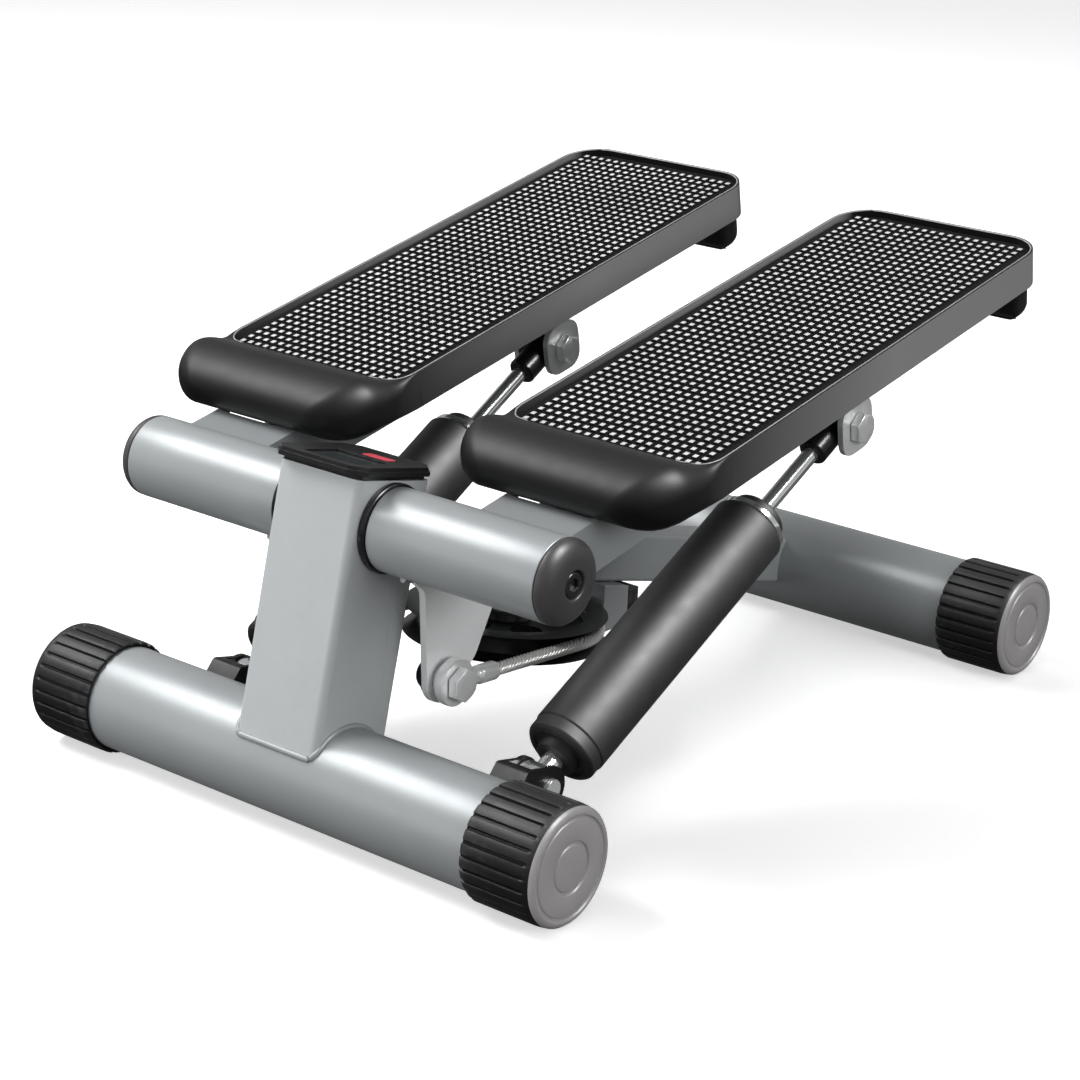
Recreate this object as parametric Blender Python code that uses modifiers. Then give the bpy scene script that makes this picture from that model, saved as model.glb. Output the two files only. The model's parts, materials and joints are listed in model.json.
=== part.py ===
"""Mini stepper: two pedals on a front axle, linked by a wire rope round a pulley
under the sloping spine, each damped by a hydraulic cylinder. Metres, +Z up,
+Y towards the rear of the machine, origin on the floor under its middle."""

import math

import bmesh
import bpy
from mathutils import Matrix, Vector

# Frame
TUBE_R = 0.025
TUBE_WALL = 0.002
TUBE_SIDES = 36
CAP_R = 0.0275
CAP_LENGTH = 0.039
HALF_WIDTH = 0.153
HALF_BASE = 0.19275
GAP = 0.0003

# Post and axle
HINGE = Vector((0.0, -0.16565, 0.140))
POST_WIDTH = 0.048
POST_DEPTH = 0.0485
POST_WALL = 0.0025
POST_LEAN = math.radians(12.8)
POST_TOP = 0.021
AXLE_R = 0.008
AXLE_HALF = 0.118
SLEEVE_R = 0.0193
SLEEVE_WALL = 0.0025
SLEEVE_IN = 0.0277
SLEEVE_OUT = 0.1203
END_CAP_LENGTH = 0.0078

# Console
LID_WIDTH = 0.054
LID_FRONT = -0.0295
LID_REAR = 0.026
LID_LOW = 0.0015
LID_HIGH = 0.0062
WINDOW = ((-0.0125, -0.0225), (0.0185, 0.0005))
BUTTON = ((-0.0030, 0.0050), (0.0130, 0.0125))

# Spine and pulley
SPINE_SLOPE = math.radians(-15.2)
SPINE_WIDTH = 0.027
SPINE_HEIGHT = 0.0247
SPINE_MID = Vector((0.0, 0.0, 0.0804))
PULLEY_AT = Vector((0.0, -0.05175, 0.0582))
PULLEY_TILT = math.radians(-5.2)
PULLEY_R = 0.050
PULLEY_HALF = 0.0065
ROPE_R = 0.0032
ROPE_TURN_R = 0.0457

# Pedals, in a frame that lies on the hinge axis and tilts with the pedal
PEDAL_X = 0.08825
PEDAL_PITCH = {"right": math.radians(10.4), "left": math.radians(11.2)}
DECK_HALF = 0.0571
DECK_FRONT = 0.0300
NOSE_HALF = 0.0605
NOSE_REAR = 0.0720
DECK_REAR = 0.365
DECK_TOP = 0.026
SKIRT_LOW = 0.0082
BED_FLOOR = 0.0222
BED_HALF = 0.0557
TREAD_FRONT = 0.0725
TREAD_REAR = 0.3605
TREAD_HALF = 0.0537
TREAD_TOP = 0.0245
ARM_HALF = 0.025
ARM_LOW = -0.0128
ARM_HIGH = 0.0111
ARM_REAR = 0.300
ARM_WALL = 0.0030

# Levers that carry the rope
LEVER_BOLT = (0.0219, -0.0734)
LEVER_IN = 0.0362
LEVER_OUT = 0.0397
LUG_IN = 0.0433
LUG_OUT = 0.0481
TERMINAL_END = 0.0286

# Hydraulic cylinders
ROD_OFFSET = {"right": 0.01775, "left": 0.01475}
FOOT_OFFSET = {"right": 0.01125, "left": 0.01475}
FOOT_PIVOT = Vector((0.0, -0.15175, 0.036))
ROD_PIVOT = (0.2321, -0.0265)
BARREL_R = 0.0182
BARREL_LOW = 0.0145
BARREL_HIGH = 0.172
ROD_R = 0.004
ROD_EYE_HALF = 0.0074

SIDES = {"right": 1, "left": -1}


def material(name, colour, roughness, metallic):
    """A Principled material in one colour."""
    made = bpy.data.materials.new(name)
    made.use_nodes = True
    shader = made.node_tree.nodes["Principled BSDF"]
    shader.inputs["Base Color"].default_value = (*colour, 1.0)
    shader.inputs["Roughness"].default_value = roughness
    shader.inputs["Metallic"].default_value = metallic
    return made


def make_materials():
    """Every material of the machine, by a short name."""
    return {
        "silver": material("silver_paint", (0.40, 0.42, 0.43), 0.38, 0.35),
        "plastic": material("black_plastic", (0.020, 0.020, 0.021), 0.42, 0.0),
        "tread": material("tread_rubber", (0.030, 0.030, 0.031), 0.70, 0.0),
        "cap": material("cap_rubber", (0.035, 0.035, 0.036), 0.60, 0.0),
        "satin": material("black_satin_paint", (0.012, 0.012, 0.014), 0.30, 0.1),
        "zinc": material("zinc_plate", (0.62, 0.64, 0.65), 0.32, 0.9),
        "chrome": material("chrome", (0.80, 0.81, 0.82), 0.10, 1.0),
        "rope": material("wire_rope", (0.55, 0.56, 0.57), 0.35, 0.9),
        "nylon": material("black_nylon", (0.028, 0.028, 0.030), 0.50, 0.0),
        "bush": material("bush_nylon", (0.62, 0.60, 0.55), 0.55, 0.0),
        "glass": material("display_window", (0.10, 0.12, 0.12), 0.12, 0.0),
        "red": material("red_button", (0.62, 0.06, 0.07), 0.40, 0.0),
    }


def add_object(name, mesh, look, parent=None, place=Matrix()):
    """Link a mesh as a named piece, placed in its parent's frame."""
    made = bpy.data.objects.new(name, mesh)
    PIECES.objects.link(made)
    if look:
        mesh.materials.append(look)
    made.parent = parent
    made.matrix_local = place
    return made


def add_frame(name, location, tilt=0.0, parent=None, yaw=0.0):
    """An empty that carries pieces: tilted about X, then turned about its own Z."""
    made = bpy.data.objects.new(name, None)
    PIECES.objects.link(made)
    made.empty_display_size = 0.02
    made.parent = parent
    turn = Matrix.Rotation(tilt, 4, "X") @ Matrix.Rotation(yaw, 4, "Z")
    made.matrix_local = Matrix.Translation(location) @ turn
    return made


def at(x=0.0, y=0.0, z=0.0):
    """A plain shift."""
    return Matrix.Translation((x, y, z))


def along(axis):
    """The rotation that turns local Z to the named axis."""
    turns = {"X": Matrix.Rotation(math.pi / 2, 4, "Y"), "Y": Matrix.Rotation(-math.pi / 2, 4, "X")}
    return turns.get(axis, Matrix())


def as_cutter(made):
    """Hide a solid that only shapes others."""
    PIECES.objects.unlink(made)
    CUTTERS.objects.link(made)
    made.hide_render = True
    made.display_type = "WIRE"
    return made


def combine(target, other, operation="DIFFERENCE"):
    """Cut or join a cutter into a piece."""
    step = target.modifiers.new(operation.lower(), "BOOLEAN")
    step.operation = operation
    step.solver = "EXACT"
    step.object = as_cutter(other)
    return target


def box(name, look, low, high, parent=None, place=Matrix()):
    """A box between two corners."""
    mesh = bpy.data.meshes.new(name)
    shape = bmesh.new()
    size = Vector(high) - Vector(low)
    middle = (Vector(high) + Vector(low)) / 2
    grow = Matrix.Translation(middle) @ Matrix.Diagonal((*size, 1.0))
    bmesh.ops.create_cube(shape, size=1.0, matrix=grow)
    shape.to_mesh(mesh)
    shape.free()
    return add_object(name, mesh, look, parent, place)


def rod(name, look, radius, low, high, parent=None, place=Matrix(), sides=20):
    """A round bar along local Z."""
    mesh = bpy.data.meshes.new(name)
    shape = bmesh.new()
    bmesh.ops.create_cone(
        shape, cap_ends=True, segments=sides, radius1=radius, radius2=radius,
        depth=high - low, matrix=Matrix.Translation((0, 0, (low + high) / 2)),
    )
    shape.to_mesh(mesh)
    shape.free()
    mesh.shade_smooth()
    mesh.set_sharp_from_angle(angle=math.radians(35))
    return add_object(name, mesh, look, parent, place)


def turned(name, look, profile, parent=None, place=Matrix(), sides=24, ring=False):
    """A turned piece: the profile lists (radius, height) down its outer side."""
    mesh = bpy.data.meshes.new(name)
    shape = bmesh.new()
    points = [shape.verts.new((r, 0.0, z)) for r, z in profile]
    for first, second in zip(points, points[1:]):
        shape.edges.new((first, second))
    if ring:
        shape.edges.new((points[-1], points[0]))
    shape.to_mesh(mesh)
    shape.free()
    made = add_object(name, mesh, look, parent, place)
    spin = made.modifiers.new("spin", "SCREW")
    spin.axis = "Z"
    spin.steps = sides
    spin.render_steps = sides
    spin.use_merge_vertices = True
    spin.merge_threshold = 0.00002
    spin.use_smooth_shade = True
    return made


def ring(name, look, outer, inner, low, high, parent=None, place=Matrix(), sides=24):
    """A plain tube or washer along local Z."""
    profile = [(outer, high), (outer, low), (inner, low), (inner, high)]
    return turned(name, look, profile, parent, place, sides, ring=True)


def plate(name, look, outlines, thickness, parent=None, place=Matrix()):
    """A flat piece: closed outlines in local XY, the inner ones holes."""
    curve = bpy.data.curves.new(name, "CURVE")
    curve.dimensions = "2D"
    curve.fill_mode = "BOTH"
    curve.extrude = thickness / 2
    for outline in outlines:
        line = curve.splines.new("POLY")
        line.points.add(len(outline) - 1)
        for point, (x, y) in zip(line.points, outline):
            point.co = (x, y, 0.0, 1.0)
        line.use_cyclic_u = True
    drawn = bpy.data.objects.new(name + "_outline", curve)
    PIECES.objects.link(drawn)
    graph = bpy.context.evaluated_depsgraph_get()
    mesh = bpy.data.meshes.new_from_object(drawn.evaluated_get(graph))
    bpy.data.objects.remove(drawn)
    shape = bmesh.new()
    shape.from_mesh(mesh)
    bmesh.ops.remove_doubles(shape, verts=shape.verts, dist=0.00001)
    bmesh.ops.recalc_face_normals(shape, faces=shape.faces)
    shape.to_mesh(mesh)
    shape.free()
    mesh.name = name
    mesh.materials.clear()
    return add_object(name, mesh, look, parent, place)


def arc(middle, radius, start, end, steps):
    """Points along an arc, in degrees from start to end."""
    turns = [math.radians(start + (end - start) * i / steps) for i in range(steps + 1)]
    return [(middle[0] + radius * math.cos(a), middle[1] + radius * math.sin(a)) for a in turns]


def circle(middle, radius, steps=20):
    """A closed circle of points."""
    return arc(middle, radius, 0, 360, steps)[:-1]


def rounded_box(half, low, high, front_r, rear_r, steps=6):
    """A plan outline, with corner radii of its own at the front and the rear."""
    return (
        arc((-half + front_r, low + front_r), front_r, 180, 270, steps)
        + arc((half - front_r, low + front_r), front_r, 270, 360, steps)
        + arc((half - rear_r, high - rear_r), rear_r, 0, 90, steps)
        + arc((-half + rear_r, high - rear_r), rear_r, 90, 180, steps)
    )


def upright(x=0.0):
    """The placement that stands an outline in the YZ plane, its normal along X."""
    return at(x=x) @ Matrix(((0, 0, 1, 0), (1, 0, 0, 0), (0, 1, 0, 0), (0, 0, 0, 1)))


def make_stabilizers(look):
    """Two floor tubes and their four end caps, whose lowest flats stand on the floor."""
    flats = 36
    corner = CAP_R / math.cos(math.pi / flats)
    for end, y in (("front", -HALF_BASE), ("rear", HALF_BASE)):
        place = at(0, y, CAP_R) @ along("X")
        tube_half = HALF_WIDTH - 0.0045
        ring(f"{end}_tube", look["silver"], TUBE_R, TUBE_R - TUBE_WALL, -tube_half, tube_half,
             place=place, sides=TUBE_SIDES)
        for side, sign in SIDES.items():
            half_turn = 180 / flats
            outline = arc((0, 0), corner, half_turn - 90, 360 - half_turn - 90, flats - 1)
            middle_x = sign * (HALF_WIDTH - CAP_LENGTH / 2)
            cap = plate(f"{end}_{side}_cap", look["cap"], [outline], CAP_LENGTH,
                        place=at(0, y, CAP_R) @ upright(middle_x))
            bore = rod("cap_bore", None, TUBE_R + GAP, -CAP_LENGTH, CAP_LENGTH / 2 - 0.0042,
                       place=at(middle_x, y, CAP_R) @ Matrix.Rotation(sign * math.pi / 2, 4, "Y"),
                       sides=32)
            combine(cap, bore)


def make_post(look, post):
    """The leaning square post, saddled on the front tube and bored for the axle."""
    half_w, half_d = POST_WIDTH / 2, POST_DEPTH / 2
    body = box("post", look["silver"], (-half_w, -half_d, -0.150), (half_w, half_d, POST_TOP),
               parent=post)
    hollow_w, hollow_d = half_w - POST_WALL, half_d - POST_WALL
    combine(body, box("post_hollow", None, (-hollow_w, -hollow_d, -0.160),
                      (hollow_w, hollow_d, POST_TOP + 0.01), parent=post))
    combine(body, box("post_foot", None, (-0.1, -0.4, -0.05), (0.1, 0.1, CAP_R + 0.0065)))
    combine(body, rod("post_saddle", None, TUBE_R + GAP, -0.05, 0.05,
                      place=at(0, -HALF_BASE, CAP_R) @ along("X"), sides=TUBE_SIDES))
    combine(body, rod("post_bore", None, AXLE_R + GAP, -0.05, 0.05,
                      place=at(*HINGE) @ along("X")))


def make_axle(look):
    """The axle, its washers, domed end caps and socket bolts."""
    tap, depth = 0.0043, 0.015
    profile = [
        (0, AXLE_HALF - depth), (tap, AXLE_HALF - depth), (tap, AXLE_HALF), (AXLE_R, AXLE_HALF),
        (AXLE_R, -AXLE_HALF), (tap, -AXLE_HALF), (tap, depth - AXLE_HALF), (0, depth - AXLE_HALF),
    ]
    turned("axle", look["zinc"], profile, place=at(*HINGE) @ along("X"), sides=20)
    for side, sign in SIDES.items():
        out = at(*HINGE) @ Matrix.Rotation(sign * math.pi / 2, 4, "Y")
        washer_in = POST_WIDTH / 2 + GAP
        ring(f"{side}_post_washer", look["nylon"], SLEEVE_R + 0.0012, AXLE_R + GAP,
             washer_in, SLEEVE_IN - GAP, place=out)
        low = SLEEVE_OUT + GAP
        dome = [(SLEEVE_R * math.cos(a) ** 0.55, low + 0.0015 + 0.0058 * math.sin(a))
                for a in (math.radians(17.5 * i) for i in range(4, -1, -1))]
        well = 0.0062
        profile = [(well, low + END_CAP_LENGTH)] + dome + [
            (SLEEVE_R, low), (0.0046, low), (0.0046, low + 0.003), (well, low + 0.003)]
        turned(f"{side}_axle_cap", look["plastic"], profile, place=out, ring=True)
        head_low, head_high = low + 0.0033, low + 0.0068
        socket, socket_low = 0.0028, low + 0.0045
        profile = [
            (0, socket_low), (socket, socket_low), (socket, head_high), (0.0052, head_high),
            (0.0056, head_high - 0.0005), (0.0056, head_low), (0.0040, head_low),
            (0.0040, AXLE_HALF - 0.012), (0, AXLE_HALF - 0.012),
        ]
        turned(f"{side}_axle_bolt", look["zinc"], profile, place=out, sides=16)


def make_console(look, post):
    """The display on the post: housing, window and reset button."""
    top = POST_TOP + GAP
    half = LID_WIDTH / 2
    cut = 0.007
    outline = [
        (-half, LID_FRONT + cut), (-half + cut, LID_FRONT), (half - cut, LID_FRONT),
        (half, LID_FRONT + cut), (half, LID_REAR - cut), (half - cut, LID_REAR),
        (-half + cut, LID_REAR), (-half, LID_REAR - cut),
    ]
    middle = (LID_LOW + LID_HIGH) / 2
    housing = plate("console_housing", look["plastic"], [outline], LID_HIGH - LID_LOW,
                    parent=post, place=at(z=POST_TOP + middle))
    combine(housing, box("console_base", None, (-0.0235, -0.0235, top),
                         (0.0235, 0.0215, POST_TOP + LID_LOW + 0.001), parent=post), "UNION")
    lid = POST_TOP + LID_HIGH
    for name, area, floor in (("window", WINDOW, 0.0024), ("button", BUTTON, 0.0032)):
        (x0, y0), (x1, y1) = area
        combine(housing, box(f"{name}_recess", None, (x0, y0, lid - floor), (x1, y1, lid + 0.01),
                             parent=post))
    (x0, y0), (x1, y1) = WINDOW
    box("console_window", look["glass"], (x0 + GAP, y0 + GAP, lid - 0.0021),
        (x1 - GAP, y1 - GAP, lid - 0.0009), parent=post)
    (x0, y0), (x1, y1) = BUTTON
    press = add_frame("console_button_frame", ((x0 + x1) / 2, (y0 + y1) / 2, lid), parent=post)
    half_x, half_y = (x1 - x0) / 2 - GAP, (y1 - y0) / 2 - GAP
    box("console_button", look["red"], (-half_x, -half_y, -0.0020), (half_x, half_y, 0.0002),
        parent=press)


def make_spine(look):
    """The sloping tube from the post to the rear tube, with the pulley's boss."""
    spine = add_frame("spine_frame", SPINE_MID, SPINE_SLOPE)
    half_w, half_h = SPINE_WIDTH / 2, SPINE_HEIGHT / 2
    body = box("spine", look["silver"], (-half_w, -0.190, -half_h), (half_w, 0.195, half_h),
               parent=spine)
    wall = 0.002
    combine(body, box("spine_hollow", None, (-half_w + wall, -0.3, -half_h + wall),
                      (half_w - wall, 0.3, half_h - wall), parent=spine))
    lean = Matrix.Translation(HINGE) @ Matrix.Rotation(-POST_LEAN, 4, "X")
    combine(body, box("spine_front_end", None, (-0.05, -0.2, -0.3),
                      (0.05, POST_DEPTH / 2 + GAP, 0.1), place=lean))
    combine(body, rod("spine_rear_end", None, TUBE_R + GAP, -0.05, 0.05,
                      place=at(0, HALF_BASE, CAP_R) @ along("X"), sides=TUBE_SIDES))
    boss_low, boss_high = PULLEY_HALF + GAP, 0.0345
    pulley = at(*PULLEY_AT) @ Matrix.Rotation(PULLEY_TILT, 4, "X")
    combine(body, rod("pulley_boss", None, 0.0090, boss_low, boss_high, place=pulley), "UNION")
    combine(body, rod("pulley_boss_bore", None, 0.0053, 0.0, 0.0300, place=pulley))
    keeper = box("cable_keeper", look["silver"], (-0.0200, 0.0015, 0.0415),
                 (0.0200, 0.0215, 0.0800))
    combine(keeper, box("keeper_hollow", None, (-0.0175, -0.05, 0.0440), (0.0175, 0.05, 0.0560)))
    combine(keeper, box("keeper_top", None, (-0.05, -0.3, -half_h - GAP), (0.05, 0.3, 0.1),
                        parent=spine))
    box("keeper_plug", look["nylon"], (-0.0200, 0.0215 + GAP, 0.0415), (0.0200, 0.0300, 0.0590))


def make_pulley(look):
    """The sheave on its bolt."""
    pulley = add_frame("pulley_frame", PULLEY_AT, PULLEY_TILT)
    rim, root, groove = PULLEY_R, ROPE_TURN_R - ROPE_R - GAP, ROPE_R + 0.0005
    half, web, hub, bore = PULLEY_HALF, 0.0035, 0.012, 0.0053
    profile = [
        (bore, half), (hub, half), (hub, web), (0.0375, web), (0.0375, half), (rim, half),
        (root, groove), (root, -groove), (rim, -half), (0.0375, -half), (0.0375, -web),
        (hub, -web), (hub, -half), (bore, -half),
    ]
    sheave = turned("pulley", look["nylon"], profile, parent=pulley, sides=36, ring=True)
    for index in range(6):
        turn = Matrix.Rotation(math.radians(60 * index + 33), 4, "Z")
        combine(sheave, rod("pulley_window", None, 0.0078, -0.01, 0.01, parent=pulley,
                            place=turn @ at(x=0.0250), sides=12))
    head = -PULLEY_HALF - GAP
    shank, top = 0.0050, 0.0290
    profile = [(0, top), (shank, top), (shank, head), (0.0085, head), (0.0085, head - 0.0045),
               (0.0078, head - 0.0052), (0, head - 0.0052)]
    place = at(*PULLEY_AT) @ Matrix.Rotation(PULLEY_TILT, 4, "X")
    turned("pulley_bolt", look["zinc"], profile, place=place, sides=16)


def rope_route():
    """The rope's middle line: right lever, round the pulley, left lever."""
    tilt = Matrix.Rotation(PULLEY_TILT, 4, "X")
    reach = (PULLEY_AT.y - HINGE.y - LEVER_BOLT[0]) / math.cos(PULLEY_TILT)
    run = reach - TERMINAL_END - GAP
    points = [(ROPE_TURN_R, -run, 0), (ROPE_TURN_R, -run / 2, 0)]
    points += [(x, y, 0) for x, y in arc((0, 0), ROPE_TURN_R, 0, 180, 16)]
    points += [(-ROPE_TURN_R, -run / 2, 0), (-ROPE_TURN_R, -run, 0)]
    return [PULLEY_AT + tilt @ Vector(p) for p in points]


def make_rope(look):
    """The wire rope, clamped in a terminal on each lever."""
    curve = bpy.data.curves.new("wire_rope", "CURVE")
    curve.dimensions = "3D"
    curve.bevel_depth = ROPE_R
    curve.bevel_resolution = 2
    curve.use_fill_caps = True
    curve.materials.append(look["rope"])
    line = curve.splines.new("POLY")
    route = rope_route()
    line.points.add(len(route) - 1)
    for point, place in zip(line.points, route):
        point.co = (*place, 1.0)
    made = bpy.data.objects.new("wire_rope", curve)
    PIECES.objects.link(made)


def make_deck(look, side, pedal):
    """The moulded foot deck with its rolled toe, and the tread mat set in it."""
    nose = DECK_FRONT
    toe = [
        (DECK_REAR, SKIRT_LOW), (DECK_REAR, DECK_TOP), (NOSE_REAR, DECK_TOP),
        (nose + 0.0385, 0.0300), (nose + 0.0320, 0.0335), (nose + 0.0240, 0.0347),
        (nose + 0.0155, 0.0336), (nose + 0.0075, 0.0300), (nose + 0.0020, 0.0250),
        (nose, 0.0200), (nose + 0.0010, 0.0150), (nose + 0.0050, 0.0110),
        (nose + 0.0120, 0.0090), (nose + 0.0300, SKIRT_LOW),
    ]
    deck = plate(f"{side}_deck", look["plastic"], [toe], 0.140, parent=pedal, place=upright())
    outline = (
        arc((0.028 - NOSE_HALF, nose + 0.028), 0.028, 180, 270, 6)
        + arc((NOSE_HALF - 0.028, nose + 0.028), 0.028, 270, 360, 6)
        + [(NOSE_HALF, NOSE_REAR - 0.010), (DECK_HALF, NOSE_REAR + 0.008)]
        + arc((DECK_HALF - 0.020, DECK_REAR - 0.020), 0.020, 0, 90, 6)
        + arc((0.020 - DECK_HALF, DECK_REAR - 0.020), 0.020, 90, 180, 6)
        + [(-DECK_HALF, NOSE_REAR + 0.008), (-NOSE_HALF, NOSE_REAR - 0.010)]
    )
    combine(deck, plate("deck_plan", None, [outline], 0.08, parent=pedal), "INTERSECT")
    under = rounded_box(DECK_HALF - 0.003, NOSE_REAR, DECK_REAR - 0.003, 0.015, 0.017, 4)
    floor_low = BED_FLOOR - 0.0022
    combine(deck, plate("deck_under", None, [under], 0.040, parent=pedal,
                        place=at(z=floor_low - 0.020)))
    bed = rounded_box(BED_HALF, TREAD_FRONT - GAP, DECK_REAR - 0.0014, 0.0150, 0.0186, 4)
    combine(deck, plate("tread_bed", None, [bed], 0.010, parent=pedal,
                        place=at(z=BED_FLOOR + 0.005)))
    notch_half = ARM_HALF + 0.0015
    combine(deck, box("arm_notch", None, (-notch_half, 0.02, -0.02), (notch_half, 0.09, 0.0125),
                      parent=pedal))
    for y in (0.105, 0.190, 0.275):
        combine(deck, box("deck_rib", None, (-0.0550, y - 0.0015, ARM_HIGH + GAP),
                          (0.0550, y + 0.0015, BED_FLOOR - 0.0008), parent=pedal), "UNION")
    combine(deck, box("rear_bumper", None, (-0.0500, DECK_REAR - 0.019, -0.0095),
                      (0.0500, DECK_REAR - 0.003, BED_FLOOR - 0.0008), parent=pedal), "UNION")
    mat = rounded_box(TREAD_HALF, TREAD_FRONT, TREAD_REAR, 0.014, 0.016, 4)
    mat_low = BED_FLOOR + GAP
    plate(f"{side}_tread", look["tread"], [mat], TREAD_TOP - mat_low, parent=pedal,
          place=at(z=(TREAD_TOP + mat_low) / 2))


def make_arm(look, side, pedal):
    """The open steel channel that carries the deck, notched over the sleeve."""
    arm = box(f"{side}_arm", look["silver"], (-ARM_HALF, 0.010, ARM_LOW),
              (ARM_HALF, ARM_REAR, ARM_HIGH), parent=pedal)
    inner, floor = ARM_HALF - ARM_WALL, ARM_LOW + ARM_WALL
    combine(arm, box("arm_mouth", None, (-inner, 0.0, floor), (inner, 0.045, ARM_HIGH - ARM_WALL),
                     parent=pedal))
    combine(arm, box("arm_trough", None, (-inner, 0.035, floor), (inner, 0.40, 0.05),
                     parent=pedal))
    combine(arm, box("arm_window", None, (-0.04, 0.040, -0.0085), (-0.015, 0.100, 0.0085),
                     parent=pedal))
    combine(arm, rod("arm_saddle", None, SLEEVE_R + GAP, -0.06, 0.06, parent=pedal,
                     place=along("X"), sides=TUBE_SIDES))


def make_sleeve(look, side, sign, pedal):
    """The turning sleeve and its long bush on the axle."""
    low, high = SLEEVE_IN - PEDAL_X, SLEEVE_OUT - PEDAL_X
    out = Matrix.Rotation(sign * math.pi / 2, 4, "Y")
    inner = SLEEVE_R - SLEEVE_WALL
    ring(f"{side}_sleeve", look["silver"], SLEEVE_R, inner, low, high, parent=pedal, place=out,
         sides=TUBE_SIDES)
    ring(f"{side}_bush", look["bush"], inner - GAP, AXLE_R + GAP, low + 0.001, high - 0.001,
         parent=pedal, place=out)


def hex_bolt(name, look, shank_r, shank_low, head_low, head_high, head_r, parent, place):
    """A bolt along local Z with a hexagonal head at its high end."""
    bolt = rod(name, look, head_r, head_low, head_high, parent, place, sides=6)
    shank = rod(name + "_shank", None, shank_r, shank_low, head_low + 0.001, parent, place, 20)
    return combine(bolt, shank, "UNION")


def make_lever(look, side, sign, level):
    """The rope lever under the sleeve, its bolt, dome nut and rope terminal."""
    y, z = LEVER_BOLT
    outline = [(-0.0070, -0.0155), (0.0075, -0.0280)] + arc((y, z), 0.0115, 178, 338, 8) + [
        (0.0435, -0.0690), (0.0555, -0.0470), (0.0500, -0.0300), (0.0310, -0.0100),
        (0.0210, -0.0040), (0.0080, -0.0060)]
    middle = (LEVER_IN + LEVER_OUT) / 2
    lever = plate(f"{side}_lever", look["silver"], [outline, circle((y, z), 0.0043, 16)],
                  LEVER_OUT - LEVER_IN, parent=level, place=upright(sign * middle))
    combine(lever, rod("lever_saddle", None, SLEEVE_R + GAP, -0.06, 0.06, parent=level,
                       place=along("X"), sides=TUBE_SIDES))
    out = at(0, y, z) @ Matrix.Rotation(sign * math.pi / 2, 4, "Y")
    hex_bolt(f"{side}_lever_bolt", look["zinc"], 0.0040, 0.0290, LUG_OUT + GAP, LUG_OUT + 0.0053,
             0.0083, level, out)
    seat, tip = LEVER_IN - GAP, 0.0262
    profile = [(0, tip + 0.0020), (0.0043, tip + 0.0020), (0.0043, seat), (0.0098, seat),
               (0.0098, seat - 0.0022), (0.0078, seat - 0.0024), (0.0078, tip + 0.0040),
               (0.0058, tip + 0.0012), (0.0030, tip), (0, tip)]
    turned(f"{side}_lever_nut", look["nylon"], profile, level, out, sides=18)
    lug_half = (LUG_OUT - LUG_IN) / 2
    slope = at(sign * (LUG_IN + lug_half), y, z) @ Matrix.Rotation(PULLEY_TILT, 4, "X")
    terminal = rod(f"{side}_rope_terminal", look["zinc"], 0.0112, -lug_half, lug_half, level,
                   slope @ along("X"))
    combine(terminal, rod("terminal_neck", None, 0.0045, 0.0092, TERMINAL_END, level,
                          slope @ along("Y"), sides=20), "UNION")
    combine(terminal, rod("terminal_spacer", None, 0.0080, LEVER_OUT + GAP, LUG_IN + 0.001, level,
                          out, sides=20), "UNION")
    combine(terminal, rod("terminal_hole", None, 0.0060, -0.01, 0.01, level,
                          slope @ along("X"), sides=16))


def make_rod_bracket(look, side, pedal):
    """The plated clevis under the arm that the piston rod's eye hangs in, and its bolt."""
    x, (y, z) = ROD_OFFSET[side], ROD_PIVOT
    reach, top = 0.0130, ARM_LOW - GAP
    outline = [(y + reach, top), (y - reach, top)] + arc((y, z), reach, 180, 360, 10)
    bracket = plate(f"{side}_rod_bracket", look["zinc"], [outline, circle((y, z), 0.0043, 16)],
                    0.0228, parent=pedal, place=upright(x))
    combine(bracket, box("bracket_slot", None, (x - 0.0084, y - 0.02, z - 0.02),
                         (x + 0.0084, y + 0.02, top - 0.0022), parent=pedal))
    hex_bolt(f"{side}_rod_bolt", look["zinc"], 0.0040, -0.0150, 0.0117, 0.0167, 0.0080, pedal,
             at(x, y, z) @ along("X"))


def make_foot_bracket(look, side):
    """The black clevis on the front tube that the cylinder's foot turns in, and its bolt."""
    x = SIDES[side] * PEDAL_X + FOOT_OFFSET[side]
    y, z = FOOT_PIVOT.y, FOOT_PIVOT.z
    base = -HALF_BASE
    outline = [(base + 0.017, 0.040), (base + 0.0255, 0.0495), (base + 0.034, 0.0475)]
    outline += arc((y, z), 0.0105, 100, -80, 9) + [(base + 0.020, 0.017)]
    bracket = plate(f"{side}_foot_bracket", look["nylon"], [outline, circle((y, z), 0.0053, 16)],
                    0.0180, place=upright(x))
    combine(bracket, box("foot_slot", None, (x - 0.0064, base + 0.0305, 0.0),
                         (x + 0.0064, base + 0.08, 0.08)))
    combine(bracket, rod("foot_saddle", None, TUBE_R + GAP, -0.2, 0.1137,
                         place=at(0, base, CAP_R) @ along("X"), sides=TUBE_SIDES))
    combine(bracket, rod("cap_clearance", None, CAP_R + GAP, 0.1130, 0.2,
                         place=at(0, base, CAP_R) @ along("X"), sides=TUBE_SIDES))
    hex_bolt(f"{side}_foot_bolt", look["zinc"], 0.0050, -0.0110, 0.0093, 0.0133, 0.0082, None,
             at(x, y, z) @ along("X") @ Matrix.Rotation(math.pi, 4, "X"))


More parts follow.
